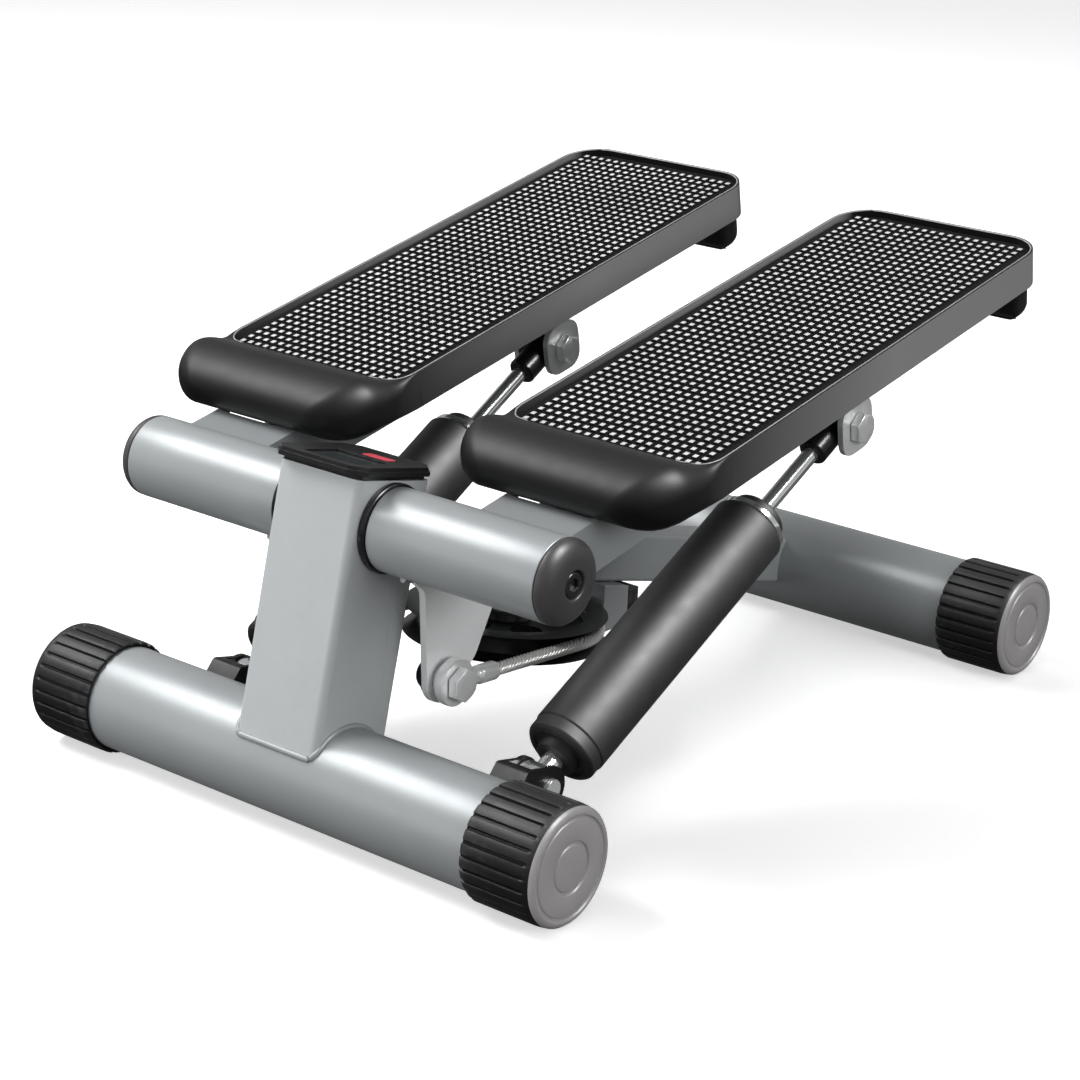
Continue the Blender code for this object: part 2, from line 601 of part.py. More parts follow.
def make_cylinder(look, side):
    """One hydraulic cylinder: eye, barrel, gland, piston rod and rod end."""
    pitch = PEDAL_PITCH[side]
    middle = SIDES[side] * PEDAL_X
    foot = Vector((middle + FOOT_OFFSET[side], FOOT_PIVOT.y, FOOT_PIVOT.z))
    pivot = HINGE + Matrix.Rotation(pitch, 3, "X") @ Vector((0, *ROD_PIVOT))
    pivot.x = middle + ROD_OFFSET[side]
    reach = pivot - foot
    frame = add_frame(f"{side}_cylinder_frame", foot, math.atan2(reach.z, reach.y),
                      yaw=-math.asin(reach.x / reach.length))
    axis = along("Y")
    bore = BARREL_R - 0.0024
    profile = [
        (bore, BARREL_HIGH), (BARREL_R - 0.0005, BARREL_HIGH), (BARREL_R, BARREL_HIGH - 0.0005),
        (BARREL_R, 0.0195), (BARREL_R - 0.0010, 0.0185), (0.0155, 0.0185), (0.0150, BARREL_LOW),
        (0.0053, BARREL_LOW), (0.0053, 0.0205), (bore, 0.0205),
    ]
    turned(f"{side}_barrel", look["satin"], profile, frame, axis, sides=32, ring=True)
    eye = rod(f"{side}_foot_eye", look["chrome"], 0.0095, -0.0059, 0.0059, frame, along("X"))
    combine(eye, rod("foot_neck", None, 0.0050, 0.0075, 0.0195, frame, axis, 20), "UNION")
    combine(eye, rod("foot_hole", None, 0.0053, -0.01, 0.01, frame, along("X"), 20))
    plug = bore - GAP
    profile = [
        (0.0043, 0.1810), (0.0130, 0.1810), (0.0135, 0.1805), (0.0135, 0.1757), (0.0168, 0.1755),
        (0.0170, 0.1724), (plug, 0.1724), (plug, 0.1580), (0.0043, 0.1580),
    ]
    turned(f"{side}_gland", look["satin"], profile, frame, axis, ring=True)
    length = reach.length
    slide = add_frame(f"{side}_rod_frame", (0, 0, 0), parent=frame)
    profile = [(0, length - 0.0100), (ROD_R, length - 0.0100), (ROD_R, 0.0620), (plug, 0.0620),
               (plug, 0.0520), (0, 0.0520)]
    turned(f"{side}_piston_rod", look["chrome"], profile, slide, axis, sides=20)
    tip = at(y=length)
    end = rod(f"{side}_rod_end", look["nylon"], 0.0090, -ROD_EYE_HALF, ROD_EYE_HALF, slide,
              tip @ along("X"))
    combine(end, rod("rod_end_neck", None, 0.0073, -0.0240, -0.0050, slide, tip @ axis, 20),
            "UNION")
    combine(end, rod("rod_end_socket", None, ROD_R + GAP, -0.03, -0.0095, slide, tip @ axis, 20))
    combine(end, rod("rod_end_hole", None, 0.0060, -0.01, 0.01, slide, tip @ along("X"), 20))


def make_pedal(look, side, sign):
    """One pedal with everything that swings with it."""
    pedal = add_frame(f"{side}_pedal_frame", (sign * PEDAL_X, HINGE.y, HINGE.z),
                      PEDAL_PITCH[side])
    level = add_frame(f"{side}_lever_frame", HINGE)
    make_sleeve(look, side, sign, pedal)
    make_arm(look, side, pedal)
    make_deck(look, side, pedal)
    make_rod_bracket(look, side, pedal)
    make_lever(look, side, sign, level)


for old in list(bpy.data.objects):
    bpy.data.objects.remove(old)
PIECES = bpy.data.collections.new("mini_stepper")
CUTTERS = bpy.data.collections.new("cutters")
for group in (PIECES, CUTTERS):
    bpy.context.scene.collection.children.link(group)

looks = make_materials()
make_stabilizers(looks)
post_frame = add_frame("post_frame", HINGE, -POST_LEAN)
make_post(looks, post_frame)
make_axle(looks)
make_console(looks, post_frame)
make_spine(looks)
make_pulley(looks)
make_rope(looks)
for hand, direction in SIDES.items():
    make_pedal(looks, hand, direction)
    make_foot_bracket(looks, hand)
    make_cylinder(looks, hand)
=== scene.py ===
"""Looks of the mini stepper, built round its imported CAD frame: smooth finished pieces that stand
for the CAD nodes, procedural materials, and a pale studio. Metres, +Z up, +Y to the rear."""

import json
import math

import bmesh
import bpy
from mathutils import Matrix, Vector

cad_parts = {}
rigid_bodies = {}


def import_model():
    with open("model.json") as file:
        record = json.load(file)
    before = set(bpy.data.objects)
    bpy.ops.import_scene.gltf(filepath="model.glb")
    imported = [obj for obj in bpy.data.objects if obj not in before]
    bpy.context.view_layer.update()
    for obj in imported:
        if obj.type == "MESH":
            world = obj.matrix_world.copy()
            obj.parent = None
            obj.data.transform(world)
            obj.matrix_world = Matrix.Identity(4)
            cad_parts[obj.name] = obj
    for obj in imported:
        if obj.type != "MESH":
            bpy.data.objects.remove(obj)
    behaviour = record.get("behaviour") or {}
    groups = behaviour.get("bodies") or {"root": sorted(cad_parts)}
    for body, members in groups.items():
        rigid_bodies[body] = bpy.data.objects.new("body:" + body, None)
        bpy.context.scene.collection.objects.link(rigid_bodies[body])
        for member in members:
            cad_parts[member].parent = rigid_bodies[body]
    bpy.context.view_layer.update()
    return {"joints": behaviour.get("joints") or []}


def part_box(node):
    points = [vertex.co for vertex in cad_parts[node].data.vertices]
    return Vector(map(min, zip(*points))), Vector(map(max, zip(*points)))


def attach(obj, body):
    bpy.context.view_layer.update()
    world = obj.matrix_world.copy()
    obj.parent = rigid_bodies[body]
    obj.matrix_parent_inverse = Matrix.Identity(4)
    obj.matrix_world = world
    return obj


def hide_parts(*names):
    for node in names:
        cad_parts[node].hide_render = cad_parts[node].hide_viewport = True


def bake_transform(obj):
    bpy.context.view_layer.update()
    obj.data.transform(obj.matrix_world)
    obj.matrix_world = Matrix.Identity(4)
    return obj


for old in list(bpy.data.objects):
    bpy.data.objects.remove(old)
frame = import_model()

JOINTS = {joint["name"]: joint for joint in frame["joints"]}
SIDES = {"right": 1, "left": -1}
GAP = 0.0003  # left between neighbours that touch in the real object
SADDLE_GAP = 0.0002  # left under a tube's end that is cut to fit a round one

# Where things are, from the frame
HINGE = Vector(JOINTS["right_pedal_hinge"]["pos_m"])
PULLEY_AT = Vector(JOINTS["pulley_spin"]["pos_m"])
PULLEY_AXIS = Vector(JOINTS["pulley_spin"]["axis"])
ARM_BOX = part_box("right_arm")
PEDAL_X = (ARM_BOX[0].x + ARM_BOX[1].x) / 2
CAP_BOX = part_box("front_right_cap")
CAP_R = (CAP_BOX[1].z - CAP_BOX[0].z) / 2
CAP_LENGTH = CAP_BOX[1].x - CAP_BOX[0].x
HALF_WIDTH = CAP_BOX[1].x
HALF_BASE = -(CAP_BOX[0].y + CAP_BOX[1].y) / 2
TUBE_R = 0.025
TUBE_WALL = 0.002
CAP_RIBS = 28
RIB_DEPTH = 0.0015
RIB_SHAPE = ((0.0, 1.0), (0.06, 1.0), (0.11, 0.55), (0.15, 0.08), (0.2, 0.02), (0.5, 0.0),
             (0.8, 0.02), (0.85, 0.08), (0.89, 0.55), (0.94, 1.0))
CAP_SHOULDER = ((0.0, 0.007, 1.0), (0.0001, 0.0056, 0.75), (0.0002, 0.0047, 0.15),
                (0.0003, 0.0041, 0.0), (0.0006, 0.002, 0.0), (0.0016, 0.0008, 0.0),
                (0.003, 0.0, 0.0))
FACE_RINGS = (0.0226, 0.0113)
FACE_GROOVE = ((0.0012, 0.0), (0.0008, 0.0002), (0.0005, 0.001), (-0.0005, 0.001),
               (-0.0008, 0.0004), (-0.0013, 0.0002))

# Post, console and axle
POST_LEAN = math.radians(12.8)
POST_WIDTH = 0.048
POST_DEPTH = 0.0485
POST_WALL = 0.0025
POST_CORNER = 0.0038
POST_TOP = 0.021
POST_FOOT = CAP_R + 0.0065
LID_HIGH = 0.0062
LID_HALF = 0.027
LID_FRONT = -0.0295
LID_REAR = 0.026
LID_CUT = 0.007
WINDOW = ((-0.0125, -0.0225), (0.0185, 0.0005))
BUTTON = ((-0.003, 0.005), (0.013, 0.0125))
AXLE_R = 0.008
AXLE_HALF = 0.118
SLEEVE_R = 0.0193
SLEEVE_WALL = 0.0025
SLEEVE_IN = 0.0277
SLEEVE_OUT = 0.1203

# Spine, pulley and rope
SPINE_SLOPE = math.radians(-15.2)
SPINE_WIDTH = 0.027
SPINE_HEIGHT = 0.0247
SPINE_MID = Vector((0.0, 0.0, 0.0804))
PULLEY_TILT = -math.atan2(PULLEY_AXIS.y, PULLEY_AXIS.z)
PULLEY_R = 0.05
PULLEY_HALF = 0.0065
ROPE_R = 0.0032
ROPE_TURN_R = 0.0457
TERMINAL_END = 0.0286

# Pedals, in a frame on the hinge axis that tilts with the pedal: x across, s along, h up
PEDAL_PITCH = {"right": math.radians(10.4), "left": math.radians(11.2)}
NOSE_FRONT = 0.03
NOSE_CREST = 0.054
NOSE_REAR = 0.072
NOSE_HALF = 0.0605
NOSE_CORNER = 0.028
NOSE_MID = 0.02
NOSE_TOP = 0.0347
DECK_HALF = 0.0571
DECK_REAR = 0.365
DECK_CORNER = 0.02
DECK_TOP = 0.026
SKIRT_LOW = 0.0082
BED_FLOOR = 0.0222
BED_HALF = 0.0557
BED_FRONT_R = 0.015
BED_REAR_R = 0.0186
TREAD_FRONT = 0.0725
TREAD_REAR = 0.3605
TREAD_HALF = 0.0537
TREAD_TOP = 0.0245
TREAD_FRONT_R = 0.014
TREAD_REAR_R = 0.016
STUD_PITCH_X = 0.005
STUD_PITCH_S = 0.0055
ARM_HALF = 0.025
ARM_LOW = -0.0128
ARM_HIGH = 0.0111
ARM_REAR = 0.3
ARM_WALL = 0.003

# Levers, cylinders and their brackets
LEVER_BOLT = (0.0219, -0.0734)
LEVER_IN = 0.0362
LEVER_OUT = 0.0397
LUG_IN = 0.0433
LUG_OUT = 0.0481
ROD_PIVOT = (0.2321, -0.0265)
ROD_OFFSET = {"right": 0.01775, "left": 0.01475}
BARREL_R = 0.0182
BARREL_HIGH = 0.172
ROD_R = 0.004
ROD_EYE_HALF = 0.0074
BOLT_R = 0.004
BOLT_HOLE_R = 0.0043
OPEN_EYE_R = 0.006
FOOT_HOLE_R = 0.0053


# ---- materials

def feed(tree, source, target):
    """Give an input a value, or what comes out of another node."""
    if isinstance(source, bpy.types.NodeSocket):
        tree.links.new(source, target)
    else:
        target.default_value = source


def node(tree, kind, *sources, **values):
    """A shader node: what its first inputs get, then properties and other inputs by name."""
    made = tree.nodes.new("ShaderNode" + kind)
    for name, value in values.items():
        key = name.replace("_", " ").title()
        if key in made.inputs:
            feed(tree, value, made.inputs[key])
        else:
            setattr(made, name, value)
    for source, target in zip(sources, made.inputs):
        feed(tree, source, target)
    return made


def ramp(tree, source, stops):
    """A colour ramp over a socket: stops are (position, grey or colour)."""
    made = node(tree, "ValToRGB", source)
    made.color_ramp.elements[0].position = stops[0][0]
    made.color_ramp.elements[1].position = stops[-1][0]
    for position, _ in stops[1:-1]:
        made.color_ramp.elements.new(position)
    for element, (_, tone) in zip(made.color_ramp.elements, stops):
        colour = tone if isinstance(tone, tuple) else (tone, tone, tone)
        element.color = (*colour, 1.0)
    return made.outputs["Color"]


def scaled(colour, factor):
    """A colour made lighter or darker."""
    return tuple(min(1.0, channel * factor) for channel in colour)


def added(name, data):
    """A new object in the scene."""
    made = bpy.data.objects.new(name, data)
    bpy.context.scene.collection.objects.link(made)
    return made


def material(name, colour, roughness, metallic, spread, grain, depth, stretch=(1.0, 1.0, 1.0),
             wear=0.0, specular=0.5, coat=0.0, cells=False):
    """A finish: drifting colour, uneven gloss, a fine bump and rubbed edges."""
    made = bpy.data.materials.new(name)
    made.use_nodes = True
    tree = made.node_tree
    into = tree.nodes["Principled BSDF"].inputs
    place = node(tree, "TexCoord").outputs["Object"]
    drift = node(tree, "TexNoise", vector=place, scale=38.0, detail=5.0)
    tone = ramp(tree, drift.outputs["Fac"], [
        (0.3, scaled(colour, 1 - spread)), (0.5, colour), (0.72, scaled(colour, 1 + spread))])
    if wear:
        tone = rubbed(tree, place, tone, colour, wear)
    smudge = node(tree, "TexNoise", vector=place, scale=120.0, detail=4.0)
    gloss = ramp(tree, smudge.outputs["Fac"], [(0.3, roughness * 0.96), (0.7, roughness * 1.05)])
    spaced = node(tree, "Mapping", vector=place, scale=stretch).outputs["Vector"]
    if cells:
        height = node(tree, "TexVoronoi", vector=spaced, scale=grain).outputs["Distance"]
    else:
        height = node(tree, "TexNoise", vector=spaced, scale=grain, detail=3.0).outputs["Fac"]
    bump = node(tree, "Bump", strength=0.35, distance=depth, height=height)
    for key, value in (("Metallic", metallic), ("Specular IOR Level", specular),
                       ("Coat Weight", coat), ("Coat Roughness", roughness * 0.9),
                       ("Base Color", tone), ("Roughness", gloss),
                       ("Normal", bump.outputs["Normal"])):
        feed(tree, value, into[key])
    return made


def rubbed(tree, place, tone, colour, amount):
    """The tone, paler on worn edges and in a few thin patches."""
    edge = node(tree, "NewGeometry").outputs["Pointiness"]
    edges = ramp(tree, edge, [(0.53, 0.0), (0.62, 1.0)])
    patch = node(tree, "TexNoise", vector=place, scale=210.0, detail=6.0)
    patches = ramp(tree, patch.outputs["Fac"], [(0.42, 0.15), (0.66, 1.0)])
    both = node(tree, "Math", edges, patches, operation="MULTIPLY")
    share = node(tree, "Math", both.outputs[0], amount, operation="MULTIPLY")
    pale = [0.45 * channel + 0.16 for channel in colour]
    return node(tree, "MixRGB", share.outputs[0], tone, (*pale, 1.0)).outputs["Color"]


def paint_side_light_to_the_rear(made):
    """Paint the decks' flat sides a paler grey towards the rear: painted light, standing in for the
    light the sides catch more of towards the rear.
    """
    tree = made.node_tree
    base = tree.nodes["Principled BSDF"].inputs["Base Color"]
    tone = base.links[0].from_socket
    facing = node(tree, "SeparateXYZ", node(tree, "NewGeometry").outputs["Normal"])
    sideways = node(tree, "Math", facing.outputs["X"], operation="ABSOLUTE")
    flat_side = ramp(tree, sideways.outputs[0], [(0.8, 0.0), (0.985, 1.0)])
    where = node(tree, "SeparateXYZ", node(tree, "TexCoord").outputs["Object"])
    rearward = node(tree, "MapRange", value=where.outputs["Y"], from_min=HINGE.y + NOSE_FRONT,
                    from_max=HINGE.y + DECK_REAR)
    along_side = ramp(tree, rearward.outputs["Result"],
                      [(0.1, 0.0), (0.28, 0.45), (0.55, 1.0), (1.0, 0.95)])
    share = node(tree, "Math", flat_side, along_side, operation="MULTIPLY")
    mixed = node(tree, "MixRGB", share.outputs[0], tone, SIDE_LIGHT_GREY)
    feed(tree, mixed.outputs["Color"], base)


# Each finish: colour, roughness, metallic, spread of colour, grain and depth of its bump, and more
FINISHES = {
    "silver_paint": ((0.3, 0.318, 0.326), 0.36, 0.16, 0.025, 1400, 0.00005, {"wear": 0.35}),
    # The post's silver is silver_paint made paler: painted light for the brighter light on the
    # post's faces
    "silver_paint_lit_copy": ((0.44, 0.462, 0.47), 0.42, 0.12, 0.02, 1400, 0.00005, {"wear": 0.35}),
    "pale_zinc": ((0.8, 0.81, 0.815), 0.4, 0.1, 0.04, 900, 0.00003, {"wear": 0.2}),
    "dark_zinc": ((0.03, 0.03, 0.032), 0.26, 0.3, 0.2, 900, 0.00003, {"wear": 0.5}),
    "silver_weld": ((0.3, 0.318, 0.326), 0.44, 0.16, 0.08, 500, 0.00025, {}),
    "black_plastic": ((0.006, 0.006, 0.0065), 0.34, 0, 0.2, 1500, 0.00004,
                      {"wear": 0.25, "cells": True}),
    "deck_plastic": ((0.003, 0.003, 0.0032), 0.48, 0, 0.2, 1500, 0.00004,
                     {"wear": 0.3, "specular": 0.32, "cells": True}),
    "tread_rubber": ((0.0025, 0.0025, 0.003), 0.66, 0, 0.3, 1800, 0.0001, {"specular": 0.12}),
    # Pale stud tops: partly the rubber's own tone, partly a painted highlight for the gloss the tops
    # catch
    "stud_top_tone_and_highlight": ((0.6, 0.6, 0.605), 0.48, 0, 0.16, 1600, 0.00008, {}),
    # The rim bead's pale grey is a painted highlight along the rim's inner edge
    "rim_highlight_grey": ((0.34, 0.34, 0.345), 0.42, 0, 0.1, 1600, 0.00003, {}),
    "cap_rubber": ((0.0055, 0.0055, 0.0065), 0.52, 0, 0.3, 1300, 0.00016, {"wear": 0.5}),
    "cap_face": ((0.36, 0.345, 0.35), 0.42, 0, 0.06, 1500, 0.00006, {"wear": 0.3}),
    "black_satin_paint": ((0.0035, 0.0035, 0.004), 0.57, 0, 0.25, 1100, 0.00003,
                          {"specular": 0.9}),
    "bracket_paint": ((0.0035, 0.0035, 0.004), 0.44, 0, 0.25, 1100, 0.00003,
                      {"wear": 0.2, "specular": 0.35}),
    "dome_plastic": ((0.056, 0.053, 0.054), 0.42, 0, 0.12, 1500, 0.00003,
                     {"wear": 0.2, "specular": 0.4}),
    "zinc_plate": ((0.9, 0.91, 0.915), 0.24, 0.48, 0.05, 900, 0.00003, {"wear": 0.3}),
    "chrome": ((0.92, 0.93, 0.94), 0.16, 0.9, 0.03, 900, 0.00001, {"stretch": (1, 14, 14)}),
    "wire_rope": ((0.82, 0.82, 0.8), 0.3, 0.35, 0.06, 1200, 0.00001, {}),
    "black_nylon": ((0.006, 0.006, 0.0065), 0.3, 0, 0.3, 1000, 0.00008, {"wear": 0.3}),
    "bush_nylon": ((0.62, 0.6, 0.55), 0.55, 0, 0.08, 900, 0.00006, {}),
    "display_window": ((0.05, 0.06, 0.06), 0.08, 0, 0.15, 300, 0.00001, {"coat": 0.6}),
    "red_button": ((0.7, 0.07, 0.1), 0.32, 0, 0.1, 1500, 0.00004, {"wear": 0.3}),
    "pale_floor": ((0.86, 0.86, 0.865), 0.62, 0, 0.012, 60, 0.0001, {"specular": 0.2}),
}
# The paler grey painted on the decks' flat sides towards the rear: painted light, not the plastic's
# own tone
SIDE_LIGHT_GREY = (0.25, 0.25, 0.254, 1.0)


# ---- shapes

def at(x=0.0, y=0.0, z=0.0):
    """A plain shift."""
    return Matrix.Translation((x, y, z))


def spin(angle, axis):
    """A turn in degrees about a main axis."""
    return Matrix.Rotation(math.radians(angle), 4, axis)


def tilted(angle):
    """A turn in radians about X."""
    return Matrix.Rotation(angle, 4, "X")


CUT, ADD = "DIFFERENCE", "UNION"
ACROSS = spin(90, "Y")
ALONG_Y = spin(-90, "X")
UPRIGHT = Matrix(((0, 0, 1, 0), (1, 0, 0, 0), (0, 1, 0, 0), (0, 0, 0, 1)))


def outwards(sign):
    """The turn that points local Z to the right or to the left."""
    return spin(90 * sign, "Y")


def turns(count):
    """Even angles round a full circle."""
    return [2 * math.pi * i / count for i in range(count)]


def degrees(start, end, step):
    """Angles from start up to end, as radians."""
    return [math.radians(angle) for angle in range(start, end, step)]


def arc(middle, radius, start, end, steps):
    """Points along an arc, in degrees from start to end."""
    angles = [math.radians(start + (end - start) * i / steps) for i in range(steps + 1)]
    return [(middle[0] + radius * math.cos(a), middle[1] + radius * math.sin(a)) for a in angles]


def circle(middle, radius, steps=40):
    """Points round a full circle."""
    return arc(middle, radius, 0, 360, steps)[:-1]


def rectangle(low, high):
    """A rectangle's corners."""
    return [low, (high[0], low[1]), high, (low[0], high[1])]


def rounded(half, low, high, low_r, high_r, steps=10):
    """A rectangle with round corners, whose radii differ between its low and its high end."""
    return (arc((half - high_r, high - high_r), high_r, 0, 90, steps)
            + arc((high_r - half, high - high_r), high_r, 90, 180, steps)
            + arc((low_r - half, low + low_r), low_r, 180, 270, steps)
            + arc((half - low_r, low + low_r), low_r, 270, 360, steps))


def eased(points, radius, closed=False, steps=3):
    """An outline with each corner rounded."""
    count = len(points)
    made = []
    for i, point in enumerate(points):
        if not closed and i in (0, count - 1):
            made.append(tuple(point))
            continue
        here = Vector(point)
        back = Vector(points[i - 1]) - here
        ahead = Vector(points[(i + 1) % count]) - here
        reach = min(radius, back.length * 0.45, ahead.length * 0.45)
        if reach < 1e-6 or back.angle(ahead) > math.radians(172):
            made.append(tuple(point))
            continue
        first, last = here + back.normalized() * reach, here + ahead.normalized() * reach
        for k in range(steps + 1):
            t = k / steps
            made.append(tuple(first.lerp(here, t).lerp(here.lerp(last, t), t)))
    return made


def loft(rings, closed=False, look=lambda row: 0):
    """A solid skinned over rings of points; an open end wider than a point gets a face."""
    shape = bmesh.new()
    made = [[shape.verts.new(point) for point in ring] for ring in rings]
    pairs = list(zip(made, made[1:])) + ([(made[-1], made[0])] if closed else [])
    for row, (low, high) in enumerate(pairs):
        shift = 0
        if high is made[0]:
            shift = min(range(len(high)), key=lambda k: (high[k].co - low[0].co).length)
        for i in range(max(len(low), len(high))):
            corners = [low[i % len(low)], low[(i + 1) % len(low)],
                       high[(i + 1 + shift) % len(high)], high[(i + shift) % len(high)]]
            distinct = list(dict.fromkeys(corners))
            if len(distinct) > 2:
                shape.faces.new(distinct).material_index = look(row)
    for row, ring in () if closed else ((-1, made[0]), (len(pairs), made[-1])):
        if len(ring) > 2:
            shape.faces.new(ring).material_index = look(row)
    bmesh.ops.recalc_face_normals(shape, faces=shape.faces)
    return shape


def tube_profile(outer, inner, low, high):
    """The section of a plain ring or tube."""
    return [(outer, high), (outer, low), (inner, low), (inner, high)]


def lathe(profile, steps=96, closed=False, ease=0.0003):
    """A turned solid about local Z from (radius, height) points."""
    return loft([[(radius * math.cos(a), radius * math.sin(a), height)
                  for a in turns(1 if radius < 1e-7 else steps)]
                 for radius, height in eased(profile, ease, closed)], closed)


def block(low, high):
    """A box between two corners."""
    shape = bmesh.new()
    low, high = Vector(low), Vector(high)
    grow = Matrix.Translation((high + low) / 2) @ Matrix.Diagonal((*(high - low), 1.0))
    bmesh.ops.create_cube(shape, size=1.0, matrix=grow)
    return shape


def flat(outlines, thickness):
    """A plate in local XY between closed outlines, the inner ones holes."""
    curve = bpy.data.curves.new("outline", "CURVE")
    curve.dimensions = "2D"
    curve.fill_mode = "BOTH"
    curve.extrude = thickness / 2
    for outline in outlines:
        line = curve.splines.new("POLY")
        line.points.add(len(outline) - 1)
        for point, (x, y) in zip(line.points, outline):
            point.co = (x, y, 0.0, 1.0)
        line.use_cyclic_u = True
    drawn = added("outline", curve)
    graph = bpy.context.evaluated_depsgraph_get()
    mesh = bpy.data.meshes.new_from_object(drawn.evaluated_get(graph))
    bpy.data.objects.remove(drawn)
    shape = bmesh.new()
    shape.from_mesh(mesh)
    bmesh.ops.remove_doubles(shape, verts=shape.verts, dist=0.00001)
    bmesh.ops.recalc_face_normals(shape, faces=shape.faces)
    return shape


def mesh_of(shape, name="solid"):
    """The shape as a mesh."""
    mesh = bpy.data.meshes.new(name)
    shape.to_mesh(mesh)
    shape.free()
    return mesh


def moved(shape, place):
    """The shape, placed."""
    bmesh.ops.transform(shape, matrix=place, verts=shape.verts)
    return shape


def drum(radius, low, high, steps=64, ease=0.0):
    """A round solid along local Z, to cut with or to add."""
    return lathe([(0, low), (radius, low), (radius, high), (0, high)], steps, ease=ease)


def bar(radius, place=Matrix(), low=-0.05, high=0.05, steps=120):
    """A round solid along X."""
    return moved(drum(radius, low, high, steps), place @ ACROSS)


def disc(radius, half, ease):
    """A thick round plate along X, with eased edges."""
    return moved(drum(radius, -half, half, 72, ease), ACROSS)


def rolled(shape, height, radius):
    """The plate with the outline's edge at one height rounded over."""
    rim = [edge for edge in shape.edges if not edge.is_boundary
           and all(abs(corner.co.z - height) < 0.00001 for corner in edge.verts)
           and edge.calc_face_angle(0.0) > 1.0]
    bmesh.ops.bevel(shape, geom=rim, offset=radius, segments=6, profile=0.5, affect="EDGES")
    return shape


def joined(*shapes):
    """Several shapes as one."""
    made = bmesh.new()
    for shape in shapes:
        mesh = mesh_of(shape)
        made.from_mesh(mesh)
        bpy.data.meshes.remove(mesh)
    return made


def carved(shape, *steps):
    """The solid after each (operation, other shape) in turn."""
    holders = [added("solid", mesh_of(solid)) for solid in [shape, *[other for _, other in steps]]]
    for (operation, _), other in zip(steps, holders[1:]):
        change = holders[0].modifiers.new("carve", "BOOLEAN")
        change.operation = operation
        change.solver = "EXACT"
        change.object = other
    graph = bpy.context.evaluated_depsgraph_get()
    mesh = bpy.data.meshes.new_from_object(holders[0].evaluated_get(graph))
    for holder in holders:
        bpy.data.objects.remove(holder)
    made = bmesh.new()
    made.from_mesh(mesh)
    bmesh.ops.remove_doubles(made, verts=made.verts, dist=0.00002)
    bmesh.ops.dissolve_degenerate(made, edges=made.edges, dist=0.00001)
    return made


def piece(name, shape, look, body, place=Matrix(), nodes=(), bevel=0.0, sharp=32.0, segments=3,
          second_look=None):
    """A finished piece of the object: placed, edges rounded, shaded, riding on its body."""
    mesh = mesh_of(shape, name)
    mesh.transform(place)
    mesh.materials.append(LOOKS[look])
    if second_look:
        mesh.materials.append(LOOKS[second_look])
    mesh.shade_smooth()
    mesh.set_sharp_from_angle(angle=math.radians(sharp))
    made = added(name, mesh)
    if bevel:
        rounding = made.modifiers.new("rounding", "BEVEL")
        rounding.width = bevel
        rounding.segments = segments
        rounding.limit_method = "ANGLE"
        rounding.angle_limit = math.radians(38)
        rounding.use_clamp_overlap = True
        rounding.harden_normals = True
    if body:
        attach(made, body)
    if nodes:
        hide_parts(*nodes)
    return made


def dress(node_name, shape, look, body="root", place=Matrix(), **options):
    """The piece that stands for one CAD node."""
    piece(f"{node_name}_finish", shape, look, body, place, [node_name], **options)


def weld(name, path, radius, body="root", place=Matrix(), closed=False, ripple=0.1):
    """A painted weld bead along a path."""
    piece(f"{name}_weld", bead(path, radius, closed, ripple=ripple), "silver_weld", body, place,
          sharp=80)


def hex_head(radius, low, high, chamfer=0.0011):
    """A hexagon along local Z whose outer face is chamfered round, with a washer face under it."""
    across = radius * math.cos(math.pi / 6)
    blank = moved(flat([circle((0, 0), radius, 6)], high - low), at(z=(low + high) / 2))
    turned_top = lathe([(0, low - 0.001), (radius * 1.2, low - 0.001),
                        (radius * 1.2, high - chamfer * 1.6), (across * 0.93, high), (0, high)],
                       48, ease=0.0)
    return carved(blank, ("INTERSECT", turned_top),
                  (ADD, drum(across * 0.96, low - 0.0004, low + 0.0005, 48)))


def hex_bolt(head, shank):
    """A hex bolt: its head's (radius, low, high) and its shank's."""
    return carved(hex_head(*head), (ADD, drum(*shank)))


def bead(points, radius, closed=False, sides=10, ripple=0.1):
    """A weld bead along a line of points, with the faint ripples of its passes."""
    rings = []
    count = len(points)
    for i, point in enumerate(points):
        behind = points[i - 1] if closed or i else points[i]
        ahead = points[(i + 1) % count] if closed or i < count - 1 else points[i]
        heading = (Vector(ahead) - Vector(behind)).normalized()
        side = heading.orthogonal().normalized() if abs(heading.x) > 0.9 else \
            heading.cross(Vector((1, 0, 0))).normalized()
        up = heading.cross(side)
        girth = radius * (1 + ripple * math.sin(i * 1.9))
        rings.append([Vector(point) + girth * (side * math.cos(a) + up * math.sin(a))
                      for a in turns(sides)])
    return loft(rings, closed)


# ---- frame pieces

def ribbed_cap():
    """An end cap along local Z, its face outwards: lengthwise ribs, a shoulder and a grey face."""
    inner, face, back = TUBE_R + GAP, CAP_LENGTH / 2, -CAP_LENGTH / 2
    walls = [(inner, back + 0.0006, 0.0), (inner + 0.0008, back, 0.0),
             (CAP_R - 0.0006, back, 1.0), (CAP_R, back + 0.0012, 1.0), (CAP_R, 0.0, 1.0)]
    walls += [(CAP_R - inset, face - drop, ribbing) for inset, drop, ribbing in CAP_SHOULDER]
    rows = walls + [(ring + beside, face - drop, 0.0)
                    for ring in FACE_RINGS for beside, drop in FACE_GROOVE]
    rows.append((0.004, face - 0.0002, 0.0))
    outline = [(2 * math.pi * (rib + phase) / CAP_RIBS, RIB_DEPTH * dip)
               for rib in range(CAP_RIBS) for phase, dip in RIB_SHAPE]
    rings = [[((radius - ribbing * dip) * math.cos(a), (radius - ribbing * dip) * math.sin(a),
               height) for a, dip in outline] for radius, height, ribbing in rows]
    return loft(rings, look=lambda row: int(row >= len(walls) - 3))


